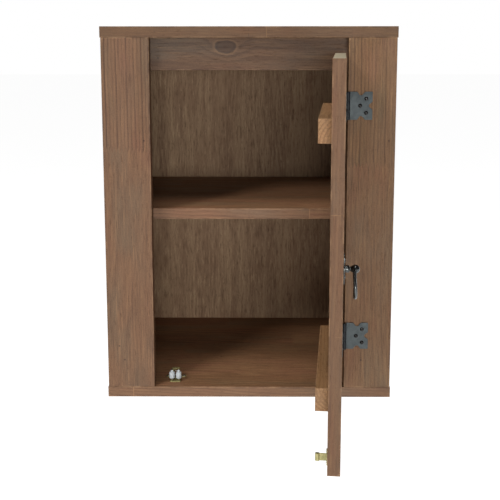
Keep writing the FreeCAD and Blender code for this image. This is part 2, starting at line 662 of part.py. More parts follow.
def build_door():
    """Door panel and its battens, drawn shut and placed open."""
    door = body("door_panel")
    block(door, "XY", DOOR_LOW, (f"-{DOOR_FREE}", DOOR_FACE, f"-{DOOR_EDGE}", DOOR_BACK), DOOR_HEIGHT)
    round_edges(door, "edge_round")
    holes(door, "XZ", DOOR_FACE, hinge_screws(-1, "0"), SCREW_HOLE, "screw_length")
    holes(door, "XZ", DOOR_FACE, PULL_SCREWS, SCREW_HOLE, "screw_length")
    holes(door, "XZ", DOOR_FACE, [(PULL_X, PULL_Z)], "post_stud_radius + screw_fit",
          "post_stud_length + screw_fit")
    holes(door, "XZ", DOOR_BACK, STRIKE_SCREWS, SCREW_HOLE, "screw_length", -1)
    bite = "(batten_screw_length - batten_thick + screw_head_height)"
    holes(door, "XZ", DOOR_BACK, BATTEN_SCREWS, SCREW_HOLE, bite, -1)
    door_place(door)
    start = f"-({DOOR_EDGE} + batten_inset)"
    for name, level in BATTENS.items():
        batten = body(name + "_batten")
        corners = (f"{start} - {BATTEN_LENGTH}", DOOR_BACK, start, BATTEN_BACK)
        block(batten, "XY", level, corners, "batten_height")
        round_edges(batten, "edge_round")
        holes(batten, "XZ", DOOR_BACK, batten_screws(level), SCREW_HOLE, "batten_thick")
        sink = "screw_head_height"
        holes(batten, "XZ", BATTEN_BACK, batten_screws(level), "screw_head_radius + screw_fit", sink, -1)
        door_place(batten)
    door_place(screw_set("batten_screws", "XZ", f"({BATTEN_BACK} - screw_head_height)", BATTEN_SCREWS, -1,
                         length="batten_screw_length"))


# ---- drop ring pull -----------------------------------------------------------------------------

def pull_backplate():
    """Lobed plate behind the post."""
    made = body("pull_backplate")
    face = "(knuckle_radius - plate_thick)"
    lobes = [("0", f"{k} * plate_lobe_rise") for k in (-1, 1)]
    rods(made, "XZ", face, [("0", "0")], "plate_disc_radius", "plate_thick")
    half = "plate_lobe_radius"
    block(made, "XZ", face, (f"-{half}", "-plate_lobe_rise", half, "plate_lobe_rise"), "plate_thick")
    for spot in lobes:
        rods(made, "XZ", face, [spot], half, "plate_thick")
    holes(made, "XZ", face, [("0", "0")], "post_stud_radius + screw_fit", "plate_thick")
    screws = [("0", f"{k} * pull_screw_rise") for k in (-1, 1)]
    holes(made, "XZ", face, screws, SCREW_HOLE, "plate_thick")
    door_place(made, PULL_X, "0", PULL_Z)


def pull_post():
    """Turned post with a stud in the door and a ball bored for the ring's bar."""
    foot = lying(primitive("Cylinder", "PostFoot", Radius="post_radius", Height="post_foot - plate_thick"),
                 "-Y")
    bind(foot, Placement__Base__y="knuckle_radius - plate_thick")
    neck = lying(primitive("Cylinder", "PostNeck", Radius="post_neck_radius",
                           Height="ball_reach - plate_thick"), "-Y")
    bind(neck, Placement__Base__y="knuckle_radius - plate_thick")
    stud = lying(primitive("Cylinder", "PostStud", Radius="post_stud_radius",
                           Height="post_stud_length + plate_thick"), "Y")
    bind(stud, Placement__Base__y="knuckle_radius - plate_thick")
    ball = primitive("Sphere", "PostBall", Radius="ball_radius")
    bind(ball, Placement__Base__y=BALL_Y)
    solid = fused("PostSolid", [foot, neck, stud, ball])
    bore = lying(primitive("Cylinder", "PostBore", Radius="ring_bar_radius + ring_bar_fit",
                           Height="2 * ball_radius + 2"), "X")
    bind(bore, Placement__Base__y=BALL_Y, Placement__Base__x="-ball_radius - 1")
    made = doc.addObject("Part::Cut", "pull_post")
    made.Base = solid
    made.Tool = bore
    made.Label = "pull_post"
    door_place(made, PULL_X, "0", PULL_Z)


def ring_path():
    """Middle line of the ring's two arms and bow, below the bar: straight, round, straight."""
    shoulder, bow, drop = (number(name) for name in ("ring_shoulder", "ring_bow_radius", "ring_drop"))
    middle = FreeCAD.Vector(0, 0, bow - drop)
    start = FreeCAD.Vector(shoulder, 0, 0)
    reach = start - middle
    lean = math.acos(bow / reach.Length)
    angle = math.atan2(reach.z, reach.x) - lean
    touch = middle + FreeCAD.Vector(bow * math.cos(angle), 0, bow * math.sin(angle))
    other = FreeCAD.Vector(-touch.x, 0, touch.z)
    lowest = FreeCAD.Vector(0, 0, -drop)
    edges = [Part.LineSegment(start, touch).toShape(), Part.Arc(touch, lowest, other).toShape(),
             Part.LineSegment(other, FreeCAD.Vector(-shoulder, 0, 0)).toShape()]
    return Part.Wire(edges), start, (touch - start)


def pull_ring():
    """Drop ring: a bar through the ball, and a wire bow whose size is read from the sheet."""
    path, start, along = ring_path()
    wire = number("ring_wire_radius")
    section = Part.Wire([Part.Circle(start, along, wire).toShape()])
    solid = path.makePipeShell([section], True, False)
    for side in (-1, 1):
        solid = solid.fuse(Part.makeSphere(wire, FreeCAD.Vector(side * number("ring_shoulder"), 0, 0)))
    bar_start = FreeCAD.Vector(-number("ring_shoulder"), 0, 0)
    bar = Part.makeCylinder(number("ring_bar_radius"), 2 * number("ring_shoulder"), bar_start,
                            FreeCAD.Vector(1, 0, 0))
    made = doc.addObject("Part::Feature", "pull_ring")
    made.Label = "pull_ring"
    made.Shape = solid.fuse(bar).removeSplitter()
    door_place(made, PULL_X, BALL_Y, PULL_Z)


def build_pull():
    """Backplate, post, ring and the two small screws."""
    pull_backplate()
    pull_post()
    pull_ring()
    face = "(knuckle_radius - plate_thick)"
    door_place(screw_set("pull_screws", "XZ", face, PULL_SCREWS, 1))


# ---- roller catch and strike ---------------------------------------------------------------------

def catch_base():
    """Base plate with two screwed ears; local origin on the shut door's inner face."""
    made = body("catch_base")
    back = "(ear_back + ear_half_depth)"
    block(made, "XY", "0", ("-base_half_width", "base_front", "base_half_width", back), "catch_plate")
    ears = ("-ear_half_width", "ear_back - ear_half_depth", "ear_half_width", back)
    block(made, "XY", "0", ears, "catch_plate")

    def upright_outer(edge):
        box = edge.BoundBox
        return box.ZLength > 0.5 and box.XLength < 0.01 and abs(box.XMin) > number("ear_half_width") - 0.01

    round_edges(made, "ear_half_depth - 0.5", upright_outer)
    rivets = [(f"{k} * pivot_pitch / 2", "pivot_back") for k in (-1, 1)]
    holes(made, "XY", "0", rivets, "roller_pin_radius + roller_fit", "catch_plate")
    screws = [(f"{k} * catch_screw_reach", "ear_back") for k in (-1, 1)]
    holes(made, "XY", "0", screws, SCREW_HOLE, "catch_plate")
    fixed_place(made, CATCH_X, DOOR_INSIDE, FLOOR)


def catch_strap():
    """Strap that ties the tops of the two rivets."""
    made = body("catch_strap")
    corners = ("-strap_half_width", "-strap_half_depth", "strap_half_width", "strap_half_depth")
    block(made, "XY", "0", corners, "catch_plate")
    rivets = [(f"{k} * pivot_pitch / 2", "0") for k in (-1, 1)]
    holes(made, "XY", "0", rivets, "roller_pin_radius + roller_fit", "catch_plate")
    fixed_place(made, CATCH_X, f"{DOOR_INSIDE} + pivot_back", f"{FLOOR} + strap_low")


def catch_rivets():
    """Rivets through base, arms and strap."""
    made = body("catch_rivets")
    spots = [(f"{k} * pivot_pitch / 2", "0") for k in (-1, 1)]
    top = "(strap_low + catch_plate)"
    rods(made, "XY", "0", spots, "roller_pin_radius", top)
    rods(made, "XY", top, spots, "hub_radius", "pin_cap")
    fixed_place(made, CATCH_X, f"{DOOR_INSIDE} + pivot_back", FLOOR)


def roller_arm(label, side):
    """Lever on a rivet, with the roller pin in front and a lug for the spring."""
    made = body(label)
    shift = "((roller_pitch - pivot_pitch) / 2)"
    front = (f"{side} * {shift}", f"-{ARM_REACH}")
    half = "arm_half_width"
    rods(made, "XY", "0", [("0", "0")], half, "catch_plate")
    rods(made, "XY", "0", [front], half, "catch_plate")
    drawn = sketch(made, "XY", "0")
    draw_polygon(drawn, [(f"-{half}", "0"), (f"{front[0]} - {half}", front[1]),
                         (f"{front[0]} + {half}", front[1]), (half, "0")])
    pad(made, drawn, "XY", "catch_plate")
    barrel = "(strap_low - catch_plate - 2 * arm_gap)"
    rods(made, "XY", "0", [("0", "0")], "barrel_radius", barrel)
    lug_y = "(lug_back - pivot_back)"
    lug = (f"{side} * (barrel_radius - 1.2)", f"{lug_y} - lug_half_depth",
           f"{side} * barrel_radius", f"{lug_y} + lug_half_depth")
    block(made, "XY", "0", lug, "spring_rise")
    holes(made, "XY", "0", [("0", "0")], "roller_pin_radius + roller_fit", barrel)
    holes(made, "XY", "0", [front], "roller_pin_radius + roller_fit", "catch_plate")
    fixed_place(made, f"{CATCH_X} + {side} * pivot_pitch / 2", f"{DOOR_INSIDE} + pivot_back", ARM_LOW)


def roller_and_pin(name, side):
    """Nylon roller with its collar, and the headed pin that it spins on."""
    x, y = f"{CATCH_X} + {side} * roller_pitch / 2", f"{DOOR_INSIDE} + roller_back"
    roller = body(name + "_roller")
    rods(roller, "XY", "0", [("0", "0")], "roller_radius", "roller_height")
    round_edges(roller, "edge_round")
    rods(roller, "XY", "0", [("0", "0")], "hub_radius", "roller_height + hub_height")
    holes(roller, "XY", "0", [("0", "0")], "roller_pin_radius + roller_fit", "roller_height + hub_height")
    fixed_place(roller, x, y, ROLLER_LOW)
    pin = body(name + "_roller_pin")
    top = f"({ROLLER_LOW} + roller_height + hub_height + roller_fit)"
    rods(pin, "XY", ARM_LOW, [("0", "0")], "roller_pin_radius", f"{top} - {ARM_LOW}")
    rods(pin, "XY", top, [("0", "0")], "hub_radius", "pin_cap")
    fixed_place(pin, x, y)


def catch_spring():
    """Hairpin of round wire behind the barrels, its legs on the lugs of the arms."""
    leg = "(pivot_pitch / 2 + barrel_radius + spring_gap + spring_wire)"
    length = "(pivot_back - lug_back + lug_half_depth)"
    bend = primitive("Torus", "SpringBend", Radius1=leg, Radius2="spring_wire")
    bend.Angle3 = 180
    legs = []
    for side in (-1, 1):
        wire = lying(primitive("Cylinder", "SpringLeg", Radius="spring_wire", Height=length), "-Y")
        bind(wire, Placement__Base__x=f"{side} * {leg}")
        legs.append(wire)
    made = fused("catch_spring", [bend] + legs)
    fixed_place(made, CATCH_X, f"{DOOR_INSIDE} + pivot_back", f"{FLOOR} + spring_rise")


def strike():
    """Screwed plate with a tongue whose hollow head snaps in between the rollers."""
    made = body("strike")
    wide, tall = "strike_flange_width / 2", "strike_flange_height / 2"
    block(made, "XZ", DOOR_BACK, (f"-{wide}", f"-{tall}", wide, tall), "strike_plate")
    low = "-tongue_height / 2"
    near, far = f"({DOOR_BACK} + head_near)", f"({DOOR_BACK} + head_far)"
    block(made, "XY", low, ("-neck_half", DOOR_BACK, "neck_half", near), "tongue_height")
    block(made, "XY", low, ("-head_radius", near, "head_radius", far), "tongue_height")
    for y in (near, far):
        rods(made, "XY", low, [("0", y)], "head_radius", "tongue_height")
    hollow = "(head_radius - head_wall)"
    for y in (near, far):
        holes(made, "XY", low, [("0", y)], hollow, "tongue_height")
    trench(made, "XY", low, (f"-{hollow}", near, hollow, far), "tongue_height")
    screws = [("0", f"{k} * strike_screw_rise") for k in (-1, 1)]
    holes(made, "XZ", DOOR_BACK, screws, SCREW_HOLE, "strike_plate")
    door_place(made, STRIKE_X, "0", STRIKE_Z)


def build_catch():
    """Double roller catch on the floor and its strike on the door."""
    catch_base()
    catch_strap()
    catch_rivets()
    for name, side in SIDES.items():
        roller_arm(name + "_roller_arm", side)
        roller_and_pin(name, side)
    catch_spring()
    screw_set("catch_screws", "XY", f"({FLOOR} + catch_plate)", CATCH_SCREWS, -1)
    strike()
    door_place(screw_set("strike_screws", "XZ", f"({DOOR_BACK} + strike_plate)", STRIKE_SCREWS, -1))


# ---- the whole cabinet ---------------------------------------------------------------------------

def finished_parts():
    """Sub-parts by label: the bodies, and the outermost of the Part objects."""
    whole = {}
    for thing in doc.Objects:
        if thing.isDerivedFrom("PartDesign::Body"):
            whole[thing.Label] = thing
        elif thing.isDerivedFrom("Part::Feature") and thing.Label == thing.Label.lower():
            whole[thing.Label] = thing
    return whole


def check_states():
    """Stop at any object that failed to rebuild."""
    for thing in doc.Objects:
        if "Invalid" in thing.State or "Error" in thing.State:
            raise RuntimeError(f"{thing.Name} ({thing.Label}) is {thing.State}")


def write_parts(whole):
    """Write one STEP file per sub-part."""
    os.makedirs("parts", exist_ok=True)
    for label, thing in whole.items():
        shape = thing.Shape
        if shape.isNull() or not shape.isValid() or not shape.Solids:
            raise RuntimeError(f"{label} has no sound solid")
        shape.exportStep(os.path.join("parts", label + ".step"))


fill_sheet()
build_carcass()
build_hinges()
build_door()
build_pull()
build_catch()
doc.recompute()
check_states()
PARTS = finished_parts()
write_parts(PARTS)
print(len(PARTS), "sub-parts written")
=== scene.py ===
"""Looks of the hanging wall cabinet: stained finger-jointed boards, butterfly hinges, ring pull, catch."""

import math

import bmesh
import bpy
from mathutils import Matrix, Vector, noise


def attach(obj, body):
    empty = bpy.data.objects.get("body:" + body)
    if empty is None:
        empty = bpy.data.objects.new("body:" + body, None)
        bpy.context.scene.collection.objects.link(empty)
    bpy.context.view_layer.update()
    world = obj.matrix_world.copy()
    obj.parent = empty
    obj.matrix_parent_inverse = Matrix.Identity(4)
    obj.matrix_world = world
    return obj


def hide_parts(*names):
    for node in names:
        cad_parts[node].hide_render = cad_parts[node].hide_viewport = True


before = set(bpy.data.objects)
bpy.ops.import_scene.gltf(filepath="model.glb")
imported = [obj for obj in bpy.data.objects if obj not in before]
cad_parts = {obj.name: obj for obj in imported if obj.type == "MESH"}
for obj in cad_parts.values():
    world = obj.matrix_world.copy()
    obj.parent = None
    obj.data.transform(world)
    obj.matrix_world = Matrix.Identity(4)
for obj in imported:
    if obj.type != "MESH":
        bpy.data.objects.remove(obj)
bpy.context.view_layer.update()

MM = 0.001
OPEN_ANGLE = math.radians(84.5)
AXIS = Vector((0.1334, -0.325, 0.0))
DOOR = Matrix.Translation(AXIS) @ Matrix.Rotation(OPEN_ANGLE, 4, "Z")
STILL = Matrix.Identity(4)


def srgb(red, green, blue):
    """Colour given as 0 to 255 on a screen, as the shader's own light values."""
    return tuple(((v / 255 + 0.055) / 1.055) ** 2.4 if v > 10 else v / 255 / 12.92 for v in (red, green, blue)) + (1,)


# ---- node trees --------------------------------------------------------------------------------


class Bench:
    """Lays out the nodes of one tree, left to right."""

    def __init__(self, tree):
        self.tree = tree
        self.count = 0

    def add(self, kind, feeds=None, **settings):
        node = self.tree.nodes.new(kind)
        node.location = (220 * (self.count // 6), -260 * (self.count % 6))
        self.count += 1
        for name, value in settings.items():
            setattr(node, name, value)
        for name, value in (feeds or {}).items():
            self.feed(node.inputs[name], value)
        return node

    def feed(self, socket, value):
        if isinstance(value, bpy.types.NodeSocket):
            self.tree.links.new(value, socket)
        else:
            socket.default_value = value

    def sum(self, operation, *values, clamp=False):
        node = self.add("ShaderNodeMath", operation=operation, use_clamp=clamp)
        for socket, value in zip(node.inputs, values):
            self.feed(socket, value)
        return node.outputs[0]

    def blend(self, factor, first, second, kind="MIX"):
        node = self.add("ShaderNodeMix", data_type="RGBA", blend_type=kind, clamp_factor=True)
        for socket, value in ((node.inputs[0], factor), (node.inputs[6], first), (node.inputs[7], second)):
            self.feed(socket, value)
        return node.outputs[2]

    def span(self, value, low, high, out_low=0.0, out_high=1.0, smooth=True):
        node = self.add("ShaderNodeMapRange", interpolation_type="SMOOTHSTEP" if smooth else "LINEAR")
        for socket, given in zip(node.inputs, (value, low, high, out_low, out_high)):
            self.feed(socket, given)
        return node.outputs[0]

    def vector(self, x, y, z):
        return self.add("ShaderNodeCombineXYZ", {"X": x, "Y": y, "Z": z}).outputs[0]

    def cloud(self, place, scale, detail=3.0, rough=0.55, twist=0.0):
        feeds = {"Vector": place, "Scale": scale, "Detail": detail, "Roughness": rough, "Distortion": twist}
        return self.add("ShaderNodeTexNoise", feeds).outputs["Fac"]

    def dice(self, place):
        return self.add("ShaderNodeTexWhiteNoise", {"Vector": place}, noise_dimensions="3D").outputs["Color"]


def shader_group(name, inputs, outputs):
    """Empty shader group with named sockets: (kind, name, default) in, (kind, name) out."""
    tree = bpy.data.node_groups.new(name, "ShaderNodeTree")
    for kind, label, value in inputs:
        socket = tree.interface.new_socket(label, in_out="INPUT", socket_type="NodeSocket" + kind)
        if value is not None:
            socket.default_value = value
    for kind, label in outputs:
        tree.interface.new_socket(label, in_out="OUTPUT", socket_type="NodeSocket" + kind)
    bench = Bench(tree)
    return bench, bench.add("NodeGroupInput").outputs, bench.add("NodeGroupOutput")


def stained_grain():
    """Solid stained wood of glued staves: rings, fibres, pores, blotches and finger joints.

    Place runs along the grain in x, across the board in y and through it in z, in metres.
    """
    inputs = [("Vector", "Place", None), ("Float", "Seed", 0.0), ("Float", "Stave", 0.065), ("Float", "Length", 0.3),
              ("Float", "Shift", 0.0), ("Float", "Ring Pitch", 0.0042), ("Float", "Ribs", 0.5), ("Float", "Lean", 0.03), ("Float", "Sway", 0.024),
              ("Float", "Pith Side", 0.05), ("Float", "Pith Depth", 0.03), ("Float", "Variety", 0.6),
              ("Float", "Knot Along", 0.0), ("Float", "Knot Across", 0.0), ("Float", "Knot Size", 0.0),
              ("Color", "Base", srgb(134, 103, 80)), ("Color", "Dark", srgb(88, 62, 44)),
              ("Color", "Pale", srgb(160, 128, 98)), ("Color", "Rosy", srgb(140, 100, 84)),
              ("Color", "Grey", srgb(118, 102, 84))]
    outputs = [("Color", "Color"), ("Float", "Height"), ("Float", "Roughness"), ("Float", "Seam")]
    bench, given, out = shader_group("stained_grain", inputs, outputs)
    parts = bench.add("ShaderNodeSeparateXYZ", {"Vector": given["Place"]}).outputs
    along, across, through = parts[0], parts[1], parts[2]

    stave = bench.sum("FLOOR", bench.sum("DIVIDE", across, given["Stave"]))
    finger = bench.sum("PINGPONG", across, 0.0026)
    zigzag = bench.sum("MULTIPLY_ADD", finger, 3.0, along)
    stagger = bench.sum("MULTIPLY", bench.sum("MULTIPLY", stave, 0.38), given["Length"])
    run = bench.sum("DIVIDE", bench.sum("SUBTRACT", bench.sum("SUBTRACT", zigzag, given["Shift"]), stagger), given["Length"])
    segment = bench.sum("FLOOR", run)
    luck = bench.add("ShaderNodeSeparateColor", {"Color": bench.dice(bench.vector(stave, segment, given["Seed"]))}).outputs
    first, second, third = luck[0], luck[1], luck[2]

    # glue lines: between the segments of a stave, and between staves
    end_gap = bench.sum("MULTIPLY", bench.sum("PINGPONG", run, 0.5), given["Length"])
    side = bench.sum("MULTIPLY", bench.sum("PINGPONG", bench.sum("DIVIDE", across, given["Stave"]), 0.5), given["Stave"])
    end_line = bench.span(end_gap, 0.0002, 0.0008, 1.0, 0.0)
    side_line = bench.span(side, 0.00005, 0.0004, 1.0, 0.0)
    seam = bench.sum("MAXIMUM", end_line, bench.sum("MULTIPLY", side_line, 0.6))

    # a knot pushes the rings aside
    knot_x = bench.sum("DIVIDE", bench.sum("SUBTRACT", along, given["Knot Along"]), 1.5)
    knot_y = bench.sum("SUBTRACT", across, given["Knot Across"])
    knot_far = bench.sum("SQRT", bench.sum("ADD", bench.sum("MULTIPLY", knot_x, knot_x), bench.sum("MULTIPLY", knot_y, knot_y)))
    knot_far = bench.sum("MULTIPLY_ADD", bench.cloud(given["Place"], 70.0, 3.0), 0.007, bench.sum("SUBTRACT", knot_far, 0.0035))
    knot_share = bench.sum("DIVIDE", knot_far, bench.sum("MAXIMUM", given["Knot Size"], 0.0001))
    knot = bench.span(knot_share, 0.85, 1.05, 1.0, 0.0)
    knot_rim = bench.sum("MULTIPLY", bench.span(knot_share, 0.72, 0.95), bench.span(knot_share, 1.0, 1.18, 1.0, 0.0))
    knot_halo = bench.sum("MULTIPLY", bench.span(knot_share, 1.02, 1.18), bench.span(knot_share, 1.2, 1.5, 1.0, 0.0))
    knot_push = bench.sum("MULTIPLY", bench.span(knot_share, 0.6, 3.6, 1.0, 0.0), bench.sum("MULTIPLY", given["Knot Size"], 1.2))

    # rings about a pith outside the board, wandering along the grain
    wander = bench.cloud(bench.vector(bench.sum("MULTIPLY", along, 5.0), bench.sum("MULTIPLY_ADD", across, 9.0, third),
                                      bench.sum("ADD", bench.sum("MULTIPLY", first, 9.0), given["Seed"])), 1.0, 2.0)
    sway = bench.sum("MULTIPLY", bench.sum("SUBTRACT", wander, 0.5), given["Sway"])
    off_y = bench.sum("ADD", bench.sum("MULTIPLY", bench.sum("SUBTRACT", first, 0.5), bench.sum("MULTIPLY", given["Variety"], 0.08)),
                      bench.sum("ADD", given["Pith Side"], sway))
    middle = bench.sum("MULTIPLY", bench.sum("ADD", stave, 0.5), given["Stave"])
    ring_y = bench.sum("ADD", bench.sum("SUBTRACT", across, middle), off_y)
    ring_z = bench.sum("ADD", bench.sum("ADD", through, given["Pith Depth"]), bench.sum("MULTIPLY", second, 0.012))
    reach = bench.sum("SQRT", bench.sum("ADD", bench.sum("MULTIPLY", ring_y, ring_y), bench.sum("MULTIPLY", ring_z, ring_z)))
    taper = bench.sum("MULTIPLY", bench.sum("SUBTRACT", along, bench.sum("MULTIPLY", first, 0.3)), given["Lean"])
    fine = bench.cloud(bench.vector(bench.sum("MULTIPLY", along, 9.0), bench.sum("MULTIPLY", across, 120.0),
                                    bench.sum("MULTIPLY", through, 120.0)), 1.0, 2.0)
    drift = bench.sum("ADD", bench.sum("ADD", taper, knot_push), bench.sum("MULTIPLY", fine, 0.0016))
    turns = bench.sum("DIVIDE", bench.sum("ADD", reach, drift), given["Ring Pitch"])
    saw = bench.sum("FRACT", turns)
    late = bench.sum("MULTIPLY", bench.span(saw, 0.35, 0.86), bench.span(saw, 0.9, 1.0, 1.0, 0.0))
    which = bench.dice(bench.vector(bench.sum("FLOOR", turns), stave, segment))
    late = bench.sum("MULTIPLY", late, bench.sum("MULTIPLY_ADD", bench.add("ShaderNodeSeparateColor", {"Color": which}).outputs[0], 0.7, 0.3))

    # fibres and short open pores, stretched along the grain
    turned = bench.vector(bench.sum("MULTIPLY", along, 22.0), bench.sum("MULTIPLY", across, 400.0),
                          bench.sum("MULTIPLY_ADD", through, 400.0, bench.sum("MULTIPLY", first, 40.0)))
    fibre = bench.cloud(turned, 1.0, 5.0, 0.68)
    pore_place = bench.vector(bench.sum("MULTIPLY", along, 90.0), bench.sum("MULTIPLY", across, 900.0),
                              bench.sum("MULTIPLY_ADD", through, 900.0, bench.sum("MULTIPLY", second, 40.0)))
    pore = bench.span(bench.cloud(pore_place, 1.0, 2.0, 0.5), 0.60, 0.68)
    fleck_cell = bench.add("ShaderNodeTexVoronoi", {"Vector": given["Place"], "Scale": 48.0})
    fleck_luck = bench.add("ShaderNodeSeparateColor", {"Color": fleck_cell.outputs["Color"]}).outputs[0]
    fleck = bench.sum("MULTIPLY", bench.span(fleck_cell.outputs["Distance"], 0.04, 0.09, 1.0, 0.0), bench.sum("GREATER_THAN", fleck_luck, 0.86))
    blotch = bench.cloud(bench.vector(bench.sum("MULTIPLY", along, 7.0), bench.sum("MULTIPLY", across, 26.0),
                                      bench.sum("MULTIPLY_ADD", through, 26.0, bench.sum("MULTIPLY", third, 30.0))), 1.0, 3.0)
    grit = bench.cloud(given["Place"], 500.0, 3.0, 0.7)

    # colour: tone of the piece, then stain blotches, rings, fibres, pores and glue lines
    shade = bench.sum("MULTIPLY", bench.sum("SUBTRACT", third, 0.5), given["Variety"])
    color = bench.blend(bench.sum("MAXIMUM", bench.sum("MULTIPLY", shade, 0.8), 0.0), given["Base"], given["Pale"])
    color = bench.blend(bench.sum("MAXIMUM", bench.sum("MULTIPLY", shade, -0.75), 0.0), color, given["Dark"])
    color = bench.blend(bench.span(blotch, 0.50, 0.72, 0.0, 0.75), color, given["Rosy"])
    color = bench.blend(bench.span(blotch, 0.50, 0.30, 0.0, 0.75), color, given["Grey"])
    color = bench.blend(bench.sum("MULTIPLY", bench.span(fibre, 0.5, 0.72), 0.62), color, given["Pale"])
    color = bench.blend(bench.sum("MULTIPLY", bench.span(fibre, 0.5, 0.28), 0.60), color, given["Dark"])
    color = bench.blend(bench.sum("MULTIPLY", late, bench.sum("MULTIPLY", given["Ribs"], 0.75)), color, given["Dark"])
    color = bench.blend(bench.sum("MULTIPLY", pore, 0.45), color, given["Dark"])
    color = bench.blend(bench.sum("MULTIPLY", bench.sum("SUBTRACT", grit, 0.5, clamp=True), 1.1), color, given["Pale"])
    color = bench.blend(bench.sum("MULTIPLY", bench.sum("SUBTRACT", 0.5, grit, clamp=True), 0.9), color, given["Dark"])
    deep = bench.blend(0.55, given["Dark"], (0.012, 0.006, 0.004, 1))
    color = bench.blend(bench.sum("MULTIPLY", knot, 0.6), color, given["Dark"])
    color = bench.blend(bench.sum("MULTIPLY", knot_rim, 0.5), color, deep)
    color = bench.blend(bench.sum("MULTIPLY", knot_halo, 0.5), color, given["Pale"])
    color = bench.blend(bench.sum("MULTIPLY", fleck, 0.7), color, deep)
    color = bench.blend(bench.sum("MULTIPLY", side_line, 0.35), color, deep)
    color = bench.blend(bench.sum("MULTIPLY", end_line, 0.45), color, given["Pale"])
    height = bench.sum("ADD", bench.sum("MULTIPLY", fibre, 0.5), bench.sum("MULTIPLY", late, bench.sum("MULTIPLY", given["Ribs"], 0.5)))
    height = bench.sum("SUBTRACT", height, bench.sum("ADD", bench.sum("MULTIPLY", pore, 0.35), bench.sum("MULTIPLY", seam, 0.6)))
    gloss = bench.span(blotch, 0.2, 0.8, 0.50, 0.66)
    gloss = bench.sum("ADD", gloss, bench.sum("MULTIPLY", pore, 0.12))
    for label, value in (("Color", color), ("Height", height), ("Roughness", gloss), ("Seam", seam)):
        bench.feed(out.inputs[label], value)
    return bench.tree


def edge_wear_and_painted_light():
    """Eased edges: paler on the crest, as rubbed wear with a painted highlight, and darker beside it, as grime with
    painted shade.
    """
    inputs = [("Color", "Color", srgb(130, 100, 76)), ("Float", "Amount", 0.5), ("Color", "Rubbed", srgb(176, 142, 108)),
              ("Color", "Grime And Shade", srgb(52, 36, 26))]
    bench, given, out = shader_group("edge_wear_and_painted_light", inputs, [("Color", "Color"), ("Float", "Crest Wear And Highlight")])
    edge = bench.add("ShaderNodeAttribute", attribute_name="edge").outputs["Fac"]
    place = bench.add("ShaderNodeTexCoord").outputs["Object"]
    patches = bench.cloud(place, 60.0, 4.0, 0.6)
    crest = bench.sum("MULTIPLY", bench.span(edge, 0.7, 1.0), bench.span(patches, 0.42, 0.62))
    band = bench.sum("MULTIPLY", bench.span(edge, 0.05, 0.6), bench.span(patches, 0.58, 0.36))
    # paler crest: rubbed wear plus a painted highlight of light catching the rounded edge
    color = bench.blend(bench.sum("MULTIPLY", bench.sum("MULTIPLY", crest, given["Amount"]), 0.45), given["Color"], given["Rubbed"])
    # darker band on the rounding: painted shade of the rounded edge, with some grime
    color = bench.blend(bench.sum("MULTIPLY", bench.sum("MULTIPLY", band, given["Amount"]), 0.35), color, given["Grime And Shade"])
    bench.feed(out.inputs["Color"], color)
    bench.feed(out.inputs["Crest Wear And Highlight"], crest)
    return bench.tree


def metal_skin():
    """Small hardware: mottled plating, fine scratches and dust."""
    inputs = [("Color", "Base", srgb(120, 120, 118)), ("Color", "Mottle", srgb(90, 92, 92)), ("Color", "Dust", srgb(150, 146, 138)),
              ("Float", "Scale", 260.0), ("Float", "Amount", 0.5), ("Float", "Roughness", 0.4)]
    bench, given, out = shader_group("metal_skin", inputs, [("Color", "Color"), ("Float", "Roughness"), ("Float", "Height")])
    place = bench.add("ShaderNodeTexCoord").outputs["Object"]
    patches = bench.cloud(place, given["Scale"], 5.0, 0.62, 0.4)
    specks = bench.cloud(place, bench.sum("MULTIPLY", given["Scale"], 9.0), 2.0, 0.5)
    squeezed = bench.add("ShaderNodeMapping", {"Vector": place, "Rotation": (0.5, 0.4, 0.8), "Scale": (1.0, 14.0, 3.0)}).outputs[0]
    scratch = bench.cloud(squeezed, bench.sum("MULTIPLY", given["Scale"], 2.0), 2.0, 0.5)
    lines = bench.span(scratch, 0.63, 0.70)
    color = bench.blend(bench.sum("MULTIPLY", bench.span(patches, 0.4, 0.66), given["Amount"]), given["Base"], given["Mottle"])
    color = bench.blend(bench.sum("MULTIPLY", bench.span(specks, 0.58, 0.72), bench.sum("MULTIPLY", given["Amount"], 0.5)), color, given["Dust"])
    rough = bench.sum("ADD", given["Roughness"], bench.sum("MULTIPLY", bench.sum("SUBTRACT", patches, 0.5), 0.22))
    rough = bench.sum("SUBTRACT", rough, bench.sum("MULTIPLY", lines, 0.08), clamp=True)
    height = bench.sum("SUBTRACT", bench.sum("MULTIPLY", specks, 0.4), bench.sum("MULTIPLY", lines, 0.5))
    for label, value in (("Color", color), ("Roughness", rough), ("Height", height)):
        bench.feed(out.inputs[label], value)
    return bench.tree


GRAIN = stained_grain()
EDGE_WEAR_AND_LIGHT = edge_wear_and_painted_light()
SKIN = metal_skin()


def new_material(name):
    """Material with a bare Principled shader; returns the material, its bench and the shader node."""
    material = bpy.data.materials.new(name)
    material.use_nodes = True
    material.node_tree.nodes.clear()
    bench = Bench(material.node_tree)
    shader = bench.add("ShaderNodeBsdfPrincipled")
    bench.add("ShaderNodeOutputMaterial", {"Surface": shader.outputs[0]})
    return material, bench, shader


def use_group(bench, tree, **values):
    """Place a shared group; an underscore in a value's name stands for a space."""
    node = bench.add("ShaderNodeGroup", node_tree=tree)
    for name, value in values.items():
        bench.feed(node.inputs[name.replace("_", " ").title()], value)
    return node.outputs


def bump(bench, shader, height, distance, strength=1.0):
    """Drive the shader's normal from a height."""
    node = bench.add("ShaderNodeBump", {"Height": height, "Distance": distance, "Strength": strength})
    bench.feed(shader.inputs["Normal"], node.outputs[0])


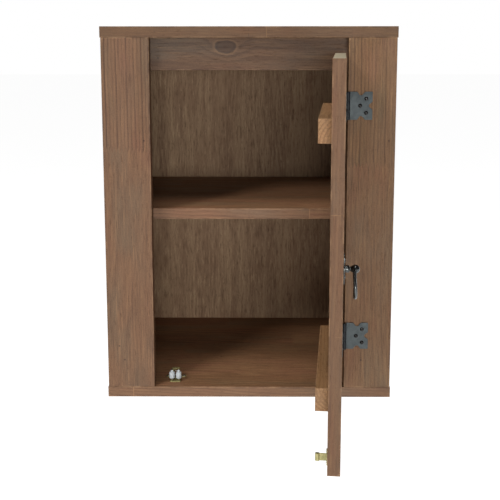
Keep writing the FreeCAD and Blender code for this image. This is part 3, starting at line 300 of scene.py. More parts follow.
def board_place(bench, origin, axes):
    """Object coordinates counted from the board's corner, along its grain, across it and through it."""
    turn = Matrix(axes).transposed().to_euler("XYZ")
    place = bench.add("ShaderNodeTexCoord").outputs["Object"]
    feeds = {"Vector": place, "Location": origin, "Rotation": turn}
    return bench.add("ShaderNodeMapping", feeds, vector_type="TEXTURE").outputs[0]


X, Y, Z = Vector((1, 0, 0)), Vector((0, 1, 0)), Vector((0, 0, 1))
DX = DOOR.to_3x3() @ X
DY = DOOR.to_3x3() @ Y


STAIN = {"base": srgb(130, 100, 77), "dark": srgb(86, 60, 42), "pale": srgb(160, 128, 98), "rosy": srgb(136, 98, 80),
         "grey": srgb(116, 98, 79)}


def toned(tone, colors):
    """The same stain taken up darker or lighter; the top rail's darker tone is painted shade."""
    return {label: tuple(v * t for v, t in zip(color, tone)) + (1,) for label, color in colors.items()}


def wood(name, origin, axes, wear=0.5, bare_ends=False, second=None, joint=None, tone=(1, 1, 1), stain=STAIN, **look):
    """Stained board finish.  second is the look past a finger joint at that height along the grain."""
    material, bench, shader = new_material(name)
    look.update(toned(tone, stain))
    place = board_place(bench, origin, axes)
    grain = use_group(bench, GRAIN, place=place, **look)
    color, height, rough = grain["Color"], grain["Height"], grain["Roughness"]
    if second is not None:
        other = use_group(bench, GRAIN, place=place, **dict(look, **second))
        parts = bench.add("ShaderNodeSeparateXYZ", {"Vector": place}).outputs
        teeth = bench.sum("MULTIPLY_ADD", bench.sum("PINGPONG", parts[1], 0.0026), 3.2, parts[0])
        past = bench.span(teeth, joint, joint + 0.0005, smooth=False)
        glue = bench.sum("MULTIPLY", bench.sum("MULTIPLY", past, bench.sum("SUBTRACT", 1.0, past)), 2.8, clamp=True)
        color = bench.blend(past, color, other["Color"])
        color = bench.blend(glue, color, srgb(70, 47, 33))
        height = bench.sum("ADD", bench.sum("MULTIPLY", past, other["Height"]),
                           bench.sum("MULTIPLY", bench.sum("SUBTRACT", 1.0, past), height))
    if bare_ends:
        end = bench.add("ShaderNodeAttribute", attribute_name="end").outputs["Fac"]
        ends = bench.blend(bench.cloud(place, 700.0, 3.0, 0.6), srgb(160, 148, 122), srgb(206, 196, 168))
        color = bench.blend(bench.sum("MULTIPLY", end, 0.85), color, ends)
    # edges: rubbed wear and a painted highlight on the crest, painted shade beside it
    worn_and_lit = use_group(bench, EDGE_WEAR_AND_LIGHT, color=color, amount=wear)
    bench.feed(shader.inputs["Base Color"], worn_and_lit["Color"])
    bench.feed(shader.inputs["Roughness"], rough)
    shader.inputs["Specular IOR Level"].default_value = 0.35
    bump(bench, shader, height, 0.00025, 0.7)
    return material


def metal(name, roughness, metallic=1.0, bump_depth=0.00004, coat=0.0, **look):
    """Small-hardware finish over the shared skin."""
    material, bench, shader = new_material(name)
    skin = use_group(bench, SKIN, roughness=roughness, **look)
    # edges: rubbed wear and a painted highlight on the crest, painted shade beside it
    worn_and_lit = use_group(bench, EDGE_WEAR_AND_LIGHT, color=skin["Color"], amount=0.6, rubbed=look.get("dust", srgb(150, 148, 140)))
    bench.feed(shader.inputs["Base Color"], worn_and_lit["Color"])
    bench.feed(shader.inputs["Roughness"], skin["Roughness"])
    shader.inputs["Metallic"].default_value = metallic
    shader.inputs["Coat Weight"].default_value = coat
    bump(bench, shader, skin["Height"], bump_depth, 0.6)
    return material


HONEY = {"base": srgb(140, 106, 74), "dark": srgb(96, 64, 38), "pale": srgb(172, 136, 98), "rosy": srgb(150, 110, 78),
         "grey": srgb(122, 94, 66)}
BEECH = {"base": srgb(206, 176, 130), "dark": srgb(170, 134, 90), "pale": srgb(222, 196, 152), "rosy": srgb(204, 168, 124),
         "grey": srgb(196, 170, 128)}
ONE_PIECE = {"stave": 0.08, "length": 2.0, "shift": -0.9, "variety": 0.1}
MATERIALS = {
    "left_stile": wood("left_stile_stain", (-0.199, -0.322, -0.465), (Z, X, Y), seed=3.0, tone=(0.60, 0.51, 0.405),
                       ribs=0.3, lean=0.11, pith_side=-0.006, pith_depth=0.018, ring_pitch=0.011, joint=0.3425,
                       second=dict(seed=8.0, ribs=1.3, lean=0.001, pith_side=0.16, pith_depth=0.02, ring_pitch=0.0048, sway=0.006),
                       **ONE_PIECE),
    "right_stile": wood("right_stile_stain", (0.134, -0.322, -0.465), (Z, X, Y), seed=5.0, tone=(0.67, 0.59, 0.42),
                        ribs=0.4, lean=0.02, pith_side=0.12, pith_depth=0.03, ring_pitch=0.006, joint=0.322,
                        second=dict(seed=9.0, ribs=1.1, lean=0.002, pith_side=-0.15, pith_depth=0.02, ring_pitch=0.0048, sway=0.006),
                        **ONE_PIECE),
    "top_board": wood("top_board_stain", (0.0, -0.322, 0.025), (X, Y, Z), seed=1.0, shift=0.0237, length=0.6, ribs=0.3, joint=0.1377, second=dict(seed=6.0),
                      variety=0.3, tone=(0.66, 0.575, 0.405)),
    "bottom_board": wood("bottom_board_stain", (0.0, -0.322, -0.480), (X, Y, Z), seed=14.0, shift=-0.164, length=0.46,
                         stave=0.046, ribs=0.8, lean=0.05, variety=0.6, tone=(1.02, 0.91, 0.74)),
    "left_side_panel": wood("left_side_stain", (-0.199, -0.304, -0.465), (Z, Y, -X), seed=21.0, ribs=0.45, length=0.36,
                            tone=(0.67, 0.59, 0.43)),
    "right_side_panel": wood("right_side_stain", (0.199, -0.304, -0.465), (Z, Y, -X), seed=27.0, ribs=0.45, length=0.36,
                             tone=(0.67, 0.59, 0.43)),
    # Top rail: tone taken well below the other boards as painted shade from the top board's overhang above it
    "top_rail": wood("top_rail_stain", (-0.184, -0.304, -0.019), (X, Z, -Y), seed=31.0, stave=0.06, length=1.0, shift=-0.4,
                     ribs=0.7, lean=0.03, pith_side=0.03, ring_pitch=0.007, variety=0.1, tone=(0.45, 0.40, 0.33),
                     knot_along=0.152, knot_across=0.031, knot_size=0.0085),
    "hanging_rail": wood("hanging_rail_stain", (-0.184, -0.019, -0.025), (X, Z, -Y), seed=33.0, stave=0.06, length=1.0,
                         tone=(0.66, 0.58, 0.43)),
    "shelf": wood("shelf_stain", (0.0, -0.2935, -0.228), (X, Y, Z), seed=37.0, shift=0.085, length=0.40, ribs=0.8,
                  stave=0.05, lean=0.04, variety=0.5, tone=(1.03, 0.90, 0.75)),
    "door_panel": wood("door_stain", DOOR @ Vector((-0.2658, 0.003, -0.4635)), (Z, DX, DY), seed=41.0, bare_ends=True,
                       stave=0.0532, length=0.36, shift=0.30, ribs=0.5, variety=0.3, tone=(0.76, 0.655, 0.49)),
    "batten": wood("batten_stain", DOOR @ Vector((-0.0161, 0.018, -0.396)), (-DX, Z, DY), seed=45.0, stave=0.09, length=1.0,
                   shift=-0.5, ribs=0.8, lean=0.02, pith_side=0.01, pith_depth=0.012, ring_pitch=0.0042, variety=0.1,
                   tone=(0.96, 0.94, 0.86), stain=HONEY),
    "dowel": wood("dowel_beech", (0, 0, 0), (X, Y, Z), stave=0.4, length=3.0, ribs=0.2, stain=BEECH),
}


PLY = toned((1.2, 1.11, 1.05), {"broad": srgb(122, 99, 76), "light": srgb(140, 118, 92), "ray": srgb(166, 144, 112),
                                "shade": srgb(80, 60, 43), "pore": srgb(66, 48, 34), "patch": srgb(104, 78, 56)})


def plywood():
    """Back panel: long fine vertical streaks, with a soft band and darker patches."""
    material, bench, shader = new_material("back_panel_ply")
    place = bench.add("ShaderNodeTexCoord").outputs["Object"]
    parts = bench.add("ShaderNodeSeparateXYZ", {"Vector": place}).outputs
    bend = bench.cloud(bench.vector(bench.sum("MULTIPLY", parts[0], 8.0), 0.0, bench.sum("MULTIPLY", parts[2], 3.0)), 1.0, 2.0)
    across = bench.sum("MULTIPLY_ADD", bend, 0.012, parts[0])
    streak = bench.cloud(bench.vector(bench.sum("MULTIPLY", across, 300.0), parts[1], bench.sum("MULTIPLY", parts[2], 34.0)), 1.0, 5.0, 0.75)
    fine = bench.cloud(bench.vector(bench.sum("MULTIPLY", across, 620.0), parts[1], bench.sum("MULTIPLY", parts[2], 100.0)), 1.0, 3.0)
    broad = bench.cloud(bench.vector(bench.sum("MULTIPLY", across, 60.0), parts[1], bench.sum("MULTIPLY", parts[2], 4.0)), 1.0, 3.0)
    patch = bench.cloud(place, 9.0, 3.0, 0.5)
    color = bench.blend(bench.span(broad, 0.35, 0.68), PLY["broad"], PLY["light"])
    color = bench.blend(bench.span(streak, 0.50, 0.70, 0.0, 0.75), color, PLY["ray"])
    color = bench.blend(bench.span(streak, 0.50, 0.30, 0.0, 0.8), color, PLY["shade"])
    color = bench.blend(bench.span(fine, 0.58, 0.68, 0.0, 0.55), color, PLY["pore"])
    color = bench.blend(bench.span(patch, 0.48, 0.75, 0.0, 0.45), color, PLY["patch"])
    bench.feed(shader.inputs["Base Color"], color)
    bench.feed(shader.inputs["Roughness"], bench.span(streak, 0.2, 0.8, 0.72, 0.58))
    shader.inputs["Specular IOR Level"].default_value = 0.3
    bump(bench, shader, bench.sum("SUBTRACT", streak, bench.sum("MULTIPLY", fine, 0.3)), 0.0002, 0.6)
    return material


def nylon():
    """Roller nylon: milky, with a faint swirl and rubbed marks."""
    material, bench, shader = new_material("roller_nylon")
    place = bench.add("ShaderNodeTexCoord").outputs["Object"]
    marks = bench.cloud(bench.add("ShaderNodeMapping", {"Vector": place, "Scale": (1.0, 1.0, 5.0)}).outputs[0], 420.0, 4.0)
    color = bench.blend(bench.span(marks, 0.45, 0.75, 0.0, 0.7), srgb(180, 186, 189), srgb(158, 162, 160))
    bench.feed(shader.inputs["Base Color"], color)
    bench.feed(shader.inputs["Roughness"], bench.span(marks, 0.3, 0.7, 0.34, 0.5))
    shader.inputs["Subsurface Weight"].default_value = 0.12
    shader.inputs["Subsurface Radius"].default_value = (0.002, 0.002, 0.002)
    shader.inputs["Subsurface Scale"].default_value = 1.0
    bump(bench, shader, marks, 0.00003, 0.5)
    return material


MATERIALS["back_panel"] = plywood()
MATERIALS["nylon"] = nylon()
MATERIALS["hinge"] = metal("hinge_steel", 0.58, 0.55, base=srgb(74, 80, 81), mottle=srgb(60, 66, 68),
                           dust=srgb(104, 110, 110), scale=180.0, amount=0.5)
# Knuckles: the same steel as the leaves, painted near-black as painted shade of the barrels that face the door
MATERIALS["knuckle"] = metal("knuckle_steel_painted_shade", 0.5, 0.7, base=srgb(34, 36, 38), mottle=srgb(20, 22, 24),
                             dust=srgb(74, 78, 80), scale=200.0, amount=0.5)
MATERIALS["dark_screw"] = metal("browned_steel", 0.26, 0.9, base=srgb(46, 45, 44), mottle=srgb(28, 26, 25),
                                dust=srgb(130, 128, 124), scale=420.0, amount=0.6)
MATERIALS["pull"] = metal("polished_dark_metal", 0.24, 1.0, base=srgb(86, 88, 87), mottle=srgb(60, 60, 57),
                          dust=srgb(128, 127, 122), scale=160.0, amount=0.35)
MATERIALS["zinc_yellow"] = metal("yellow_zinc", 0.44, 0.6, base=srgb(158, 150, 104), mottle=srgb(122, 120, 74),
                                 dust=srgb(182, 170, 138), scale=300.0, amount=0.6)
MATERIALS["bright"] = metal("bright_zinc", 0.28, 1.0, base=srgb(214, 214, 208), mottle=srgb(176, 176, 170),
                            dust=srgb(232, 230, 224), scale=360.0, amount=0.5)


# ---- meshes ---------------------------------------------------------------------------------------


def finish_piece(name, bm, material, body, nodes=(), place=STILL, smooth=True, soft_angle=None):
    """Turn a bmesh into a piece that rides on a body and stands for CAD nodes."""
    bmesh.ops.recalc_face_normals(bm, faces=bm.faces)
    bm.transform(place)
    mesh = bpy.data.meshes.new(name)
    bm.to_mesh(mesh)
    bm.free()
    for polygon in mesh.polygons:
        polygon.use_smooth = smooth
    if smooth and soft_angle:
        mesh.set_sharp_from_angle(angle=math.radians(soft_angle))
    mesh.materials.append(material)
    piece = bpy.data.objects.new(name, mesh)
    bpy.context.scene.collection.objects.link(piece)
    return settle(piece, body, nodes)


def settle(piece, body, nodes):
    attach(piece, body)
    if nodes:
        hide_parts(*nodes)
    return piece


def paint(bm, name, rule):
    """Per-corner mask: rule(face, vertex) gives 0 to 1."""
    layer = bm.loops.layers.float.new(name)
    for face in bm.faces:
        for loop in face.loops:
            loop[layer] = rule(face, loop.vert)


def board_mesh(low, high, grain, ease=0.6 * MM, seed=0.0, wave=0.12):
    """Eased board: a rounded section swept along the grain, with hand-sanded corners."""
    low, high = Vector(low), Vector(high)
    a = grain
    b, c = [i for i in range(3) if i != a]
    bm = bmesh.new()
    shy = min(4.0 * MM, 0.3 * min(high - low))
    length = high[a] - low[a]
    inner = max(2, int(length / (16 * MM)))
    stations = []
    for step in range(4):
        turn = math.pi / 2 * step / 3
        stations.append((ease * (1 - math.cos(turn)), ease * (1 - math.sin(turn))))
    stations = [(along, inset, 1.0) for along, inset in stations] + [(shy, 0.0, 0.0)]
    for step in range(1, inner):
        stations.append((shy + (length - 2 * shy) * step / inner, 0.0, 0.0))
    stations += [(length - along, inset, mark) for along, inset, mark in reversed(stations[:5])]
    edge = bm.verts.layers.float.new("edge_mark")
    loops = []
    for along, inset, mark in stations:
        ring = []
        for quarter in range(4):
            corner_b = high[b] if quarter in (0, 3) else low[b]
            corner_c = high[c] if quarter in (0, 1) else low[c]
            sign_b = 1 if quarter in (0, 3) else -1
            sign_c = 1 if quarter in (0, 1) else -1
            rub = noise.noise(Vector((along * 25, quarter * 7.3, seed)))
            rub += 0.5 * noise.noise(Vector((along * 90, quarter * 3.1, seed + 4)))
            radius = max(ease * 0.55, ease * (1 + wave * 2 * rub)) if mark == 0.0 else ease
            radius = max(radius - inset * 0.6, ease * 0.35)
            points = []
            for step in range(4):
                turn = math.pi / 2 * step / 3
                points.append((radius * (1 - math.sin(turn)), radius * (1 - math.cos(turn)), 1.0))
            points = [(shy, 0.0, 0.0)] + points + [(0.0, shy, 0.0)]
            if quarter % 2 == 0:
                points = points[::-1]
            for off_b, off_c, side_mark in points:
                spot = Vector((0, 0, 0))
                spot[a] = low[a] + along
                spot[b] = corner_b - sign_b * max(off_b, inset)
                spot[c] = corner_c - sign_c * max(off_c, inset)
                vert = bm.verts.new(spot)
                vert[edge] = max(side_mark, mark)
                ring.append(vert)
        loops.append(ring)
    for first, second in zip(loops, loops[1:]):
        count = len(first)
        for i in range(count):
            j = (i + 1) % count
            bm.faces.new((first[i], first[j], second[j], second[i]))
    caps = [bm.faces.new(loops[0]), bm.faces.new(loops[-1])]
    cap_set = set(caps)
    paint(bm, "end", lambda face, vert: 1.0 if face in cap_set else 0.0)
    paint(bm, "edge", lambda face, vert: vert[edge] if face not in cap_set else 0.15)
    bm.verts.layers.float.remove(edge)
    bmesh.ops.remove_doubles(bm, verts=bm.verts, dist=1e-7)
    return bm


def board(name, low, high, grain, material, body="carcass", place=STILL, nodes=None, holes=(), slot="stained_wood",
          rebate=None, **extra):
    """Board piece for the CAD node of the same name; holes are (centre, direction, radius, depth)."""
    bm = board_mesh(low, high, grain, **extra)
    if rebate is not None:
        bm = boxed_out(bm, *rebate)
    for hole in holes:
        bm = drilled(bm, *hole)
    return finish_piece(name + "_wood", bm, material, body, nodes or [name], place, soft_angle=40)


def cut_away(bm, bit):
    """Cut the bit's shape out of a mesh with a Boolean modifier; the new edges stay crisp."""
    things = []
    for shape, name in ((bm, "uncut"), (bit, "bit")):
        mesh = bpy.data.meshes.new(name)
        shape.to_mesh(mesh)
        shape.free()
        things.append(bpy.data.objects.new(name, mesh))
        bpy.context.scene.collection.objects.link(things[-1])
    blank, cutter = things
    cut = blank.modifiers.new("cut", "BOOLEAN")
    cut.object = cutter
    cut.solver = "EXACT"
    bpy.context.view_layer.update()
    result = bpy.data.meshes.new_from_object(blank.evaluated_get(bpy.context.evaluated_depsgraph_get()))
    made = bmesh.new()
    made.from_mesh(result)
    used = [blank.data, cutter.data, result]
    for thing in things:
        bpy.data.objects.remove(thing)
    for mesh in used:
        bpy.data.meshes.remove(mesh)
    return made


def drilled(bm, centre, direction, radius, depth):
    """Cut a round hole."""
    bit = bmesh.new()
    bmesh.ops.create_cone(bit, cap_ends=True, segments=32, radius1=radius, radius2=radius, depth=depth)
    turn = Z.rotation_difference(Vector(direction)).to_matrix().to_4x4()
    bit.transform(Matrix.Translation(Vector(centre) + Vector(direction) * depth / 2) @ turn)
    return cut_away(bm, bit)


def boxed_out(bm, middle, size):
    """Cut a square notch or a rebate."""
    bit = bmesh.new()
    bmesh.ops.create_cube(bit, size=1.0)
    bit.transform(Matrix.Translation(middle) @ Matrix.Diagonal(Vector(size).to_4d()))
    return cut_away(bm, bit)


def lathe(profile, segments=40):
    """Turn a closed or axis-to-axis profile of (radius, height) about Z."""
    bm = bmesh.new()
    rows = []
    for radius, height in profile:
        if radius < 1e-7:
            rows.append([bm.verts.new((0, 0, height))])
        else:
            rows.append([bm.verts.new((radius * math.cos(2 * math.pi * i / segments), radius * math.sin(2 * math.pi * i / segments), height))
                         for i in range(segments)])
    closed = profile[0] == profile[-1] and profile[0][0] > 1e-7
    if closed:
        bmesh.ops.delete(bm, geom=rows[-1], context="VERTS")
        rows[-1] = rows[0]
    for first, second in zip(rows, rows[1:]):
        for i in range(segments):
            j = (i + 1) % segments
            ring = [first[i % len(first)], first[j % len(first)], second[j % len(second)], second[i % len(second)]]
            face = [v for k, v in enumerate(ring) if v not in ring[:k]]
            if len(face) > 2:
                bm.faces.new(face)
    paint(bm, "edge", lambda face, vert: 0.0)
    return bm


def rounded_profile(points, radius, steps=3):
    """Ease the inner corners of an open profile of (radius, height) points."""
    eased = [points[0]]
    for before, here, after in zip(points, points[1:], points[2:]):
        here_v, before_v, after_v = Vector(here), Vector(before), Vector(after)
        back, ahead = before_v - here_v, after_v - here_v
        cut = min(radius, back.length * 0.45, ahead.length * 0.45)
        if cut < 1e-6:
            eased.append(here)
            continue
        start, stop = here_v + back.normalized() * cut, here_v + ahead.normalized() * cut
        for step in range(steps + 1):
            t = step / steps
            eased.append(tuple(start * (1 - t) ** 2 + here_v * 2 * t * (1 - t) + stop * t * t))
    eased.append(points[-1])
    return eased


def plate(outline, thick, bevel=0.15 * MM, holes=()):
    """Flat sheet from an outline of (x, z) points, its face at y=0 and its back at y=thick, edges eased."""
    bm = bmesh.new()
    face = bm.faces.new([bm.verts.new((x, 0, z)) for x, z in outline])
    grown = bmesh.ops.extrude_face_region(bm, geom=[face])
    moved = [v for v in grown["geom"] if isinstance(v, bmesh.types.BMVert)]
    bmesh.ops.translate(bm, verts=moved, vec=(0, thick, 0))
    bmesh.ops.recalc_face_normals(bm, faces=bm.faces)
    rims = [e for e in bm.edges if len(e.link_faces) == 2 and abs(e.verts[0].co.y - e.verts[1].co.y) < 1e-7]
    if bevel:
        bmesh.ops.bevel(bm, geom=rims, offset=bevel, segments=2, profile=0.5, affect="EDGES")
    for hole in holes:
        bm = drilled(bm, *hole)
    flat = {f for f in bm.faces if f.calc_area() > 8e-6}
    paint(bm, "edge", lambda face, vert: 0.0 if face in flat else 1.0)
    return bm


def sweep(path, radii, segments=16, closed=False):
    """Round wire along a path of points; radii is one number or one per point."""
    bm = bmesh.new()
    count = len(path)
    radii = radii if isinstance(radii, (list, tuple)) else [radii] * count
    rings = []
    normal = None
    for i, point in enumerate(path):
        before = path[i - 1] if i or closed else path[i]
        after = path[(i + 1) % count] if i + 1 < count or closed else path[i]
        tangent = (Vector(after) - Vector(before)).normalized()
        if normal is None:
            normal = tangent.orthogonal().normalized()
        normal = (normal - tangent * normal.dot(tangent)).normalized()
        side = tangent.cross(normal)
        rings.append([bm.verts.new(Vector(point) + (normal * math.cos(2 * math.pi * k / segments) + side * math.sin(2 * math.pi * k / segments)) * radii[i])
                      for k in range(segments)])
    pairs = list(zip(rings, rings[1:])) + ([(rings[-1], rings[0])] if closed else [])
    for first, second in pairs:
        for k in range(segments):
            j = (k + 1) % segments
            bm.faces.new((first[k], first[j], second[j], second[k]))
    if not closed:
        bm.faces.new(rings[0])
        bm.faces.new(rings[-1])
    paint(bm, "edge", lambda face, vert: 0.0)
    return bm


def arc(centre, radius, start, stop, steps):
    """Points on a flat arc, angles in degrees."""
    return [(centre[0] + radius * math.cos(math.radians(start + (stop - start) * i / steps)),
             centre[1] + radius * math.sin(math.radians(start + (stop - start) * i / steps))) for i in range(steps + 1)]


def joined(first, *others):
    """Put several bmeshes in one."""
    for other in others:
        mesh = bpy.data.meshes.new("part")
        other.to_mesh(mesh)
        other.free()
        first.from_mesh(mesh)
        bpy.data.meshes.remove(mesh)
    return first


# ---- repeated fasteners ---------------------------------------------------------------------------


def geometry_tree(name, sizes, material):
    """Geometry tree with named size inputs; returns the bench, the input sockets and the closing call."""
    tree = bpy.data.node_groups.new(name, "GeometryNodeTree")
    tree.interface.new_socket("Places", in_out="INPUT", socket_type="NodeSocketGeometry")
    for label, value in sizes:
        socket = tree.interface.new_socket(label, in_out="INPUT", socket_type="NodeSocketFloat")
        socket.default_value = value
    tree.interface.new_socket("Pieces", in_out="OUTPUT", socket_type="NodeSocketGeometry")
    bench = Bench(tree)
    given = bench.add("NodeGroupInput").outputs
    out = bench.add("NodeGroupOutput")

    def close(shape):
        turn = bench.add("GeometryNodeInputNamedAttribute", {"Name": "turn"}, data_type="FLOAT_VECTOR")
        euler = bench.add("FunctionNodeEulerToRotation", {"Euler": turn.outputs["Attribute"]})
        placed = bench.add("GeometryNodeInstanceOnPoints", {"Points": given["Places"], "Instance": shape, "Rotation": euler.outputs[0]})
        real = bench.add("GeometryNodeRealizeInstances", {"Geometry": placed.outputs[0]})
        coated = bench.add("GeometryNodeSetMaterial", {"Geometry": real.outputs[0], "Material": material})
        bench.feed(out.inputs["Pieces"], coated.outputs[0])

    return bench, given, close


def math_node(bench, operation, *values):
    return bench.sum(operation, *values)


def fasteners(name, spots, material, body, nodes, sizes, domed=True, place=STILL, slotted=True, soft=35):
    """Same fastener at many spots (centre of the seat, direction it is driven, turn about it), as one mesh.

    Each is a shank down its own -Z from the seat, with a head of domed or flat top above it.
    """
    bench, given, close = geometry_tree(name + "_tree", sizes, material)
    head = bench.add("GeometryNodeMeshCylinder", fill_type="TRIANGLE_FAN", feeds={"Vertices": 32, "Side Segments": 1, "Fill Segments": 6,
                                                 "Radius": given["Head Radius"], "Depth": given["Head Height"]})
    spot = bench.add("GeometryNodeInputPosition").outputs[0]
    parts = bench.add("ShaderNodeSeparateXYZ", {"Vector": spot}).outputs
    far = bench.sum("SQRT", bench.sum("ADD", bench.sum("MULTIPLY", parts[0], parts[0]), bench.sum("MULTIPLY", parts[1], parts[1])))
    share = bench.sum("DIVIDE", far, given["Head Radius"])
    drop = bench.sum("MULTIPLY", bench.sum("MULTIPLY", bench.sum("MULTIPLY", share, share), given["Head Height"]), given["Dome"])
    top = bench.sum("GREATER_THAN", parts[2], 0.0)
    lift = bench.sum("MULTIPLY_ADD", given["Head Height"], 0.5, bench.sum("MULTIPLY", bench.sum("MULTIPLY", drop, top), -1.0))
    shaped = bench.add("GeometryNodeSetPosition", {"Geometry": head.outputs["Mesh"], "Offset": bench.vector(0.0, 0.0, lift)})
    solid = shaped.outputs[0]
    if slotted:
        width = bench.sum("MULTIPLY", given["Head Radius"], 2.4)
        cutter = bench.add("GeometryNodeMeshCube", {"Size": bench.vector(width, given["Slot Width"], given["Slot Depth"])})
        at = bench.vector(0.0, 0.0, bench.sum("SUBTRACT", given["Head Height"], bench.sum("MULTIPLY", given["Slot Depth"], 0.35)))
        moved = bench.add("GeometryNodeTransform", {"Geometry": cutter.outputs["Mesh"], "Translation": at})
        boolean = bench.add("GeometryNodeMeshBoolean", operation="DIFFERENCE", solver="EXACT")
        bench.feed(boolean.inputs["Mesh 1"], solid)
        bench.feed(boolean.inputs["Mesh 2"], moved.outputs[0])
        solid = boolean.outputs["Mesh"]
    shank = bench.add("GeometryNodeMeshCylinder", {"Vertices": 20, "Radius": given["Shank Radius"], "Depth": given["Length"]})
    below = bench.vector(0.0, 0.0, bench.sum("MULTIPLY", given["Length"], -0.5))
    sunk = bench.add("GeometryNodeTransform", {"Geometry": shank.outputs["Mesh"], "Translation": below})
    both = bench.add("GeometryNodeJoinGeometry")
    bench.feed(both.inputs[0], solid)
    bench.tree.links.new(sunk.outputs[0], both.inputs[0])
    close(both.outputs[0])
    return planted(name, bench.tree, spots, sizes, body, nodes, place, soft)


def planted(name, tree, spots, sizes, body, nodes, place, soft):
    """Run a fastener tree on bare points and keep the plain mesh."""
    mesh = bpy.data.meshes.new(name)
    mesh.from_pydata([place @ Vector(centre) for centre, _, _ in spots], [], [])
    turns = mesh.attributes.new("turn", "FLOAT_VECTOR", "POINT")
    for item, (_, driven, spin) in zip(turns.data, spots):
        up = -(place.to_3x3() @ Vector(driven))
        item.vector = (Z.rotation_difference(up).to_matrix() @ Matrix.Rotation(spin, 3, "Z")).to_euler()
    piece = bpy.data.objects.new(name, mesh)
    bpy.context.scene.collection.objects.link(piece)
    modifier = piece.modifiers.new("plant", "NODES")
    modifier.node_group = tree
    ids = {item.name: item.identifier for item in tree.interface.items_tree if item.in_out == "INPUT"}
    for label, value in sizes:
        modifier[ids[label]] = value
    bpy.context.view_layer.update()
    result = bpy.data.meshes.new_from_object(piece.evaluated_get(bpy.context.evaluated_depsgraph_get()))
    piece.modifiers.remove(modifier)
    piece.data = result
    for polygon in result.polygons:
        polygon.use_smooth = True
    result.set_sharp_from_angle(angle=math.radians(soft))
    return settle(piece, body, nodes)


SMALL_SCREW = [("Head Radius", 2.7 * MM), ("Head Height", 1.3 * MM), ("Dome", 0.72), ("Slot Width", 0.6 * MM), ("Slot Depth", 0.8 * MM),
               ("Shank Radius", 1.5 * MM), ("Length", 12 * MM)]


# ---- carcass --------------------------------------------------------------------------------------

WALL_HOLES = [-0.15, 0.15]
LONG_REBATE = Vector((0.382, 0.008, 0.008))
TALL_REBATE = Vector((0.008, 0.008, 0.6))

board("top_board", (-0.2, -0.322, 0.025), (0.2, 0.0, 0.04), 0, MATERIALS["top_board"], seed=1.0,
      rebate=((0, 0, 0.028), LONG_REBATE))
board("bottom_board", (-0.2, -0.322, -0.48), (0.2, 0.0, -0.465), 0, MATERIALS["bottom_board"], seed=2.0,
      rebate=((0, 0, -0.468), LONG_REBATE))
board("left_side_panel", (-0.199, -0.304, -0.465), (-0.184, 0.0, 0.025), 2, MATERIALS["left_side_panel"], seed=3.0,
      rebate=((-0.187, 0, -0.22), TALL_REBATE))
board("right_side_panel", (0.184, -0.304, -0.465), (0.199, 0.0, 0.025), 2, MATERIALS["right_side_panel"], seed=4.0,
      rebate=((0.187, 0, -0.22), TALL_REBATE))
board("left_stile", (-0.199, -0.322, -0.465), (-0.134, -0.304, 0.025), 2, MATERIALS["left_stile"], seed=5.0)
board("right_stile", (0.134, -0.322, -0.465), (0.199, -0.304, 0.025), 2, MATERIALS["right_stile"], seed=6.0)
board("top_rail", (-0.184, -0.304, -0.019), (0.184, -0.289, 0.025), 0, MATERIALS["top_rail"], seed=7.0)
board("shelf", (-0.184, -0.2935, -0.228), (0.184, -0.0045, -0.213), 0, MATERIALS["shelf"], seed=8.0)
board("hanging_rail", (-0.184, -0.019, -0.025), (0.184, -0.004, 0.025), 0, MATERIALS["hanging_rail"], seed=9.0,
      holes=[((x, -0.03, 0), Y, 3 * MM, 0.04) for x in WALL_HOLES])
board("back_panel", (-0.1907, -0.004, -0.4717), (0.1907, 0.0, 0.0317), 2, MATERIALS["back_panel"], slot="plywood",
      ease=0.3 * MM, seed=10.0, holes=[((x, -0.02, 0), Y, 3 * MM, 0.04) for x in WALL_HOLES])

# ---- door -----------------------------------------------------------------------------------------

board("door_panel", (-0.2658, 0.003, -0.4635), (-0.0006, 0.018, 0.0045), 2, MATERIALS["door_panel"], "door", DOOR, seed=11.0)
BATTEN_LOW = {"upper": -0.0885, "lower": -0.396}
BATTEN_SCREWS = []
for which, base in BATTEN_LOW.items():
    spots = [(-0.0461 - 0.084 * k, 0.033, base + 0.01375) for k in range(3)]
    BATTEN_SCREWS += spots
    board(which + "_batten", (-0.2441, 0.018, base), (-0.0161, 0.033, base + 0.0275), 0, MATERIALS["batten"], "door", DOOR,
          slot="batten_wood", seed=12.0 + base, holes=[((x, y + 0.001, z), -Y, 2.8 * MM, 2.3 * MM) for x, y, z in spots])

# ---- hinges ---------------------------------------------------------------------------------------


def butterfly_outline(side):
    """Outline of one leaf from the knuckles outwards, with its three notches."""
    half, reach = 19 * MM, 33.5 * MM
    notch = 3.3 * MM
    deep = half - 5 * MM + notch
    right = [(2.4 * MM, half)]
    right += [(12.7 * MM, half)] + arc((18 * MM, deep), notch, 200, 340, 8) + [(23.3 * MM, half)]
    right += [(reach - 0.8 * MM, half), (reach, half - 0.8 * MM), (reach, 5.3 * MM)]
    right += arc((reach - 5 * MM + notch, 0.0), notch, 70, 290, 10)[0:0] + arc((reach - 5 * MM + notch, 0.0), notch, 110, 250, 8)
    right += [(reach, -5.3 * MM), (reach, -half + 0.8 * MM), (reach - 0.8 * MM, -half), (23.3 * MM, -half)]
    right += arc((18 * MM, -deep), notch, 20, 160, 8) + [(12.7 * MM, -half), (2.4 * MM, -half)]
    return [(side * x, z) for x, z in right]


def knuckle(low, high):
    """Rolled knuckle with softly rounded ends."""
    profile = rounded_profile([(1.56 * MM, low), (3.0 * MM, low), (3.0 * MM, high), (1.56 * MM, high)], 0.35 * MM)
    return lathe(profile + [profile[0]], 36)


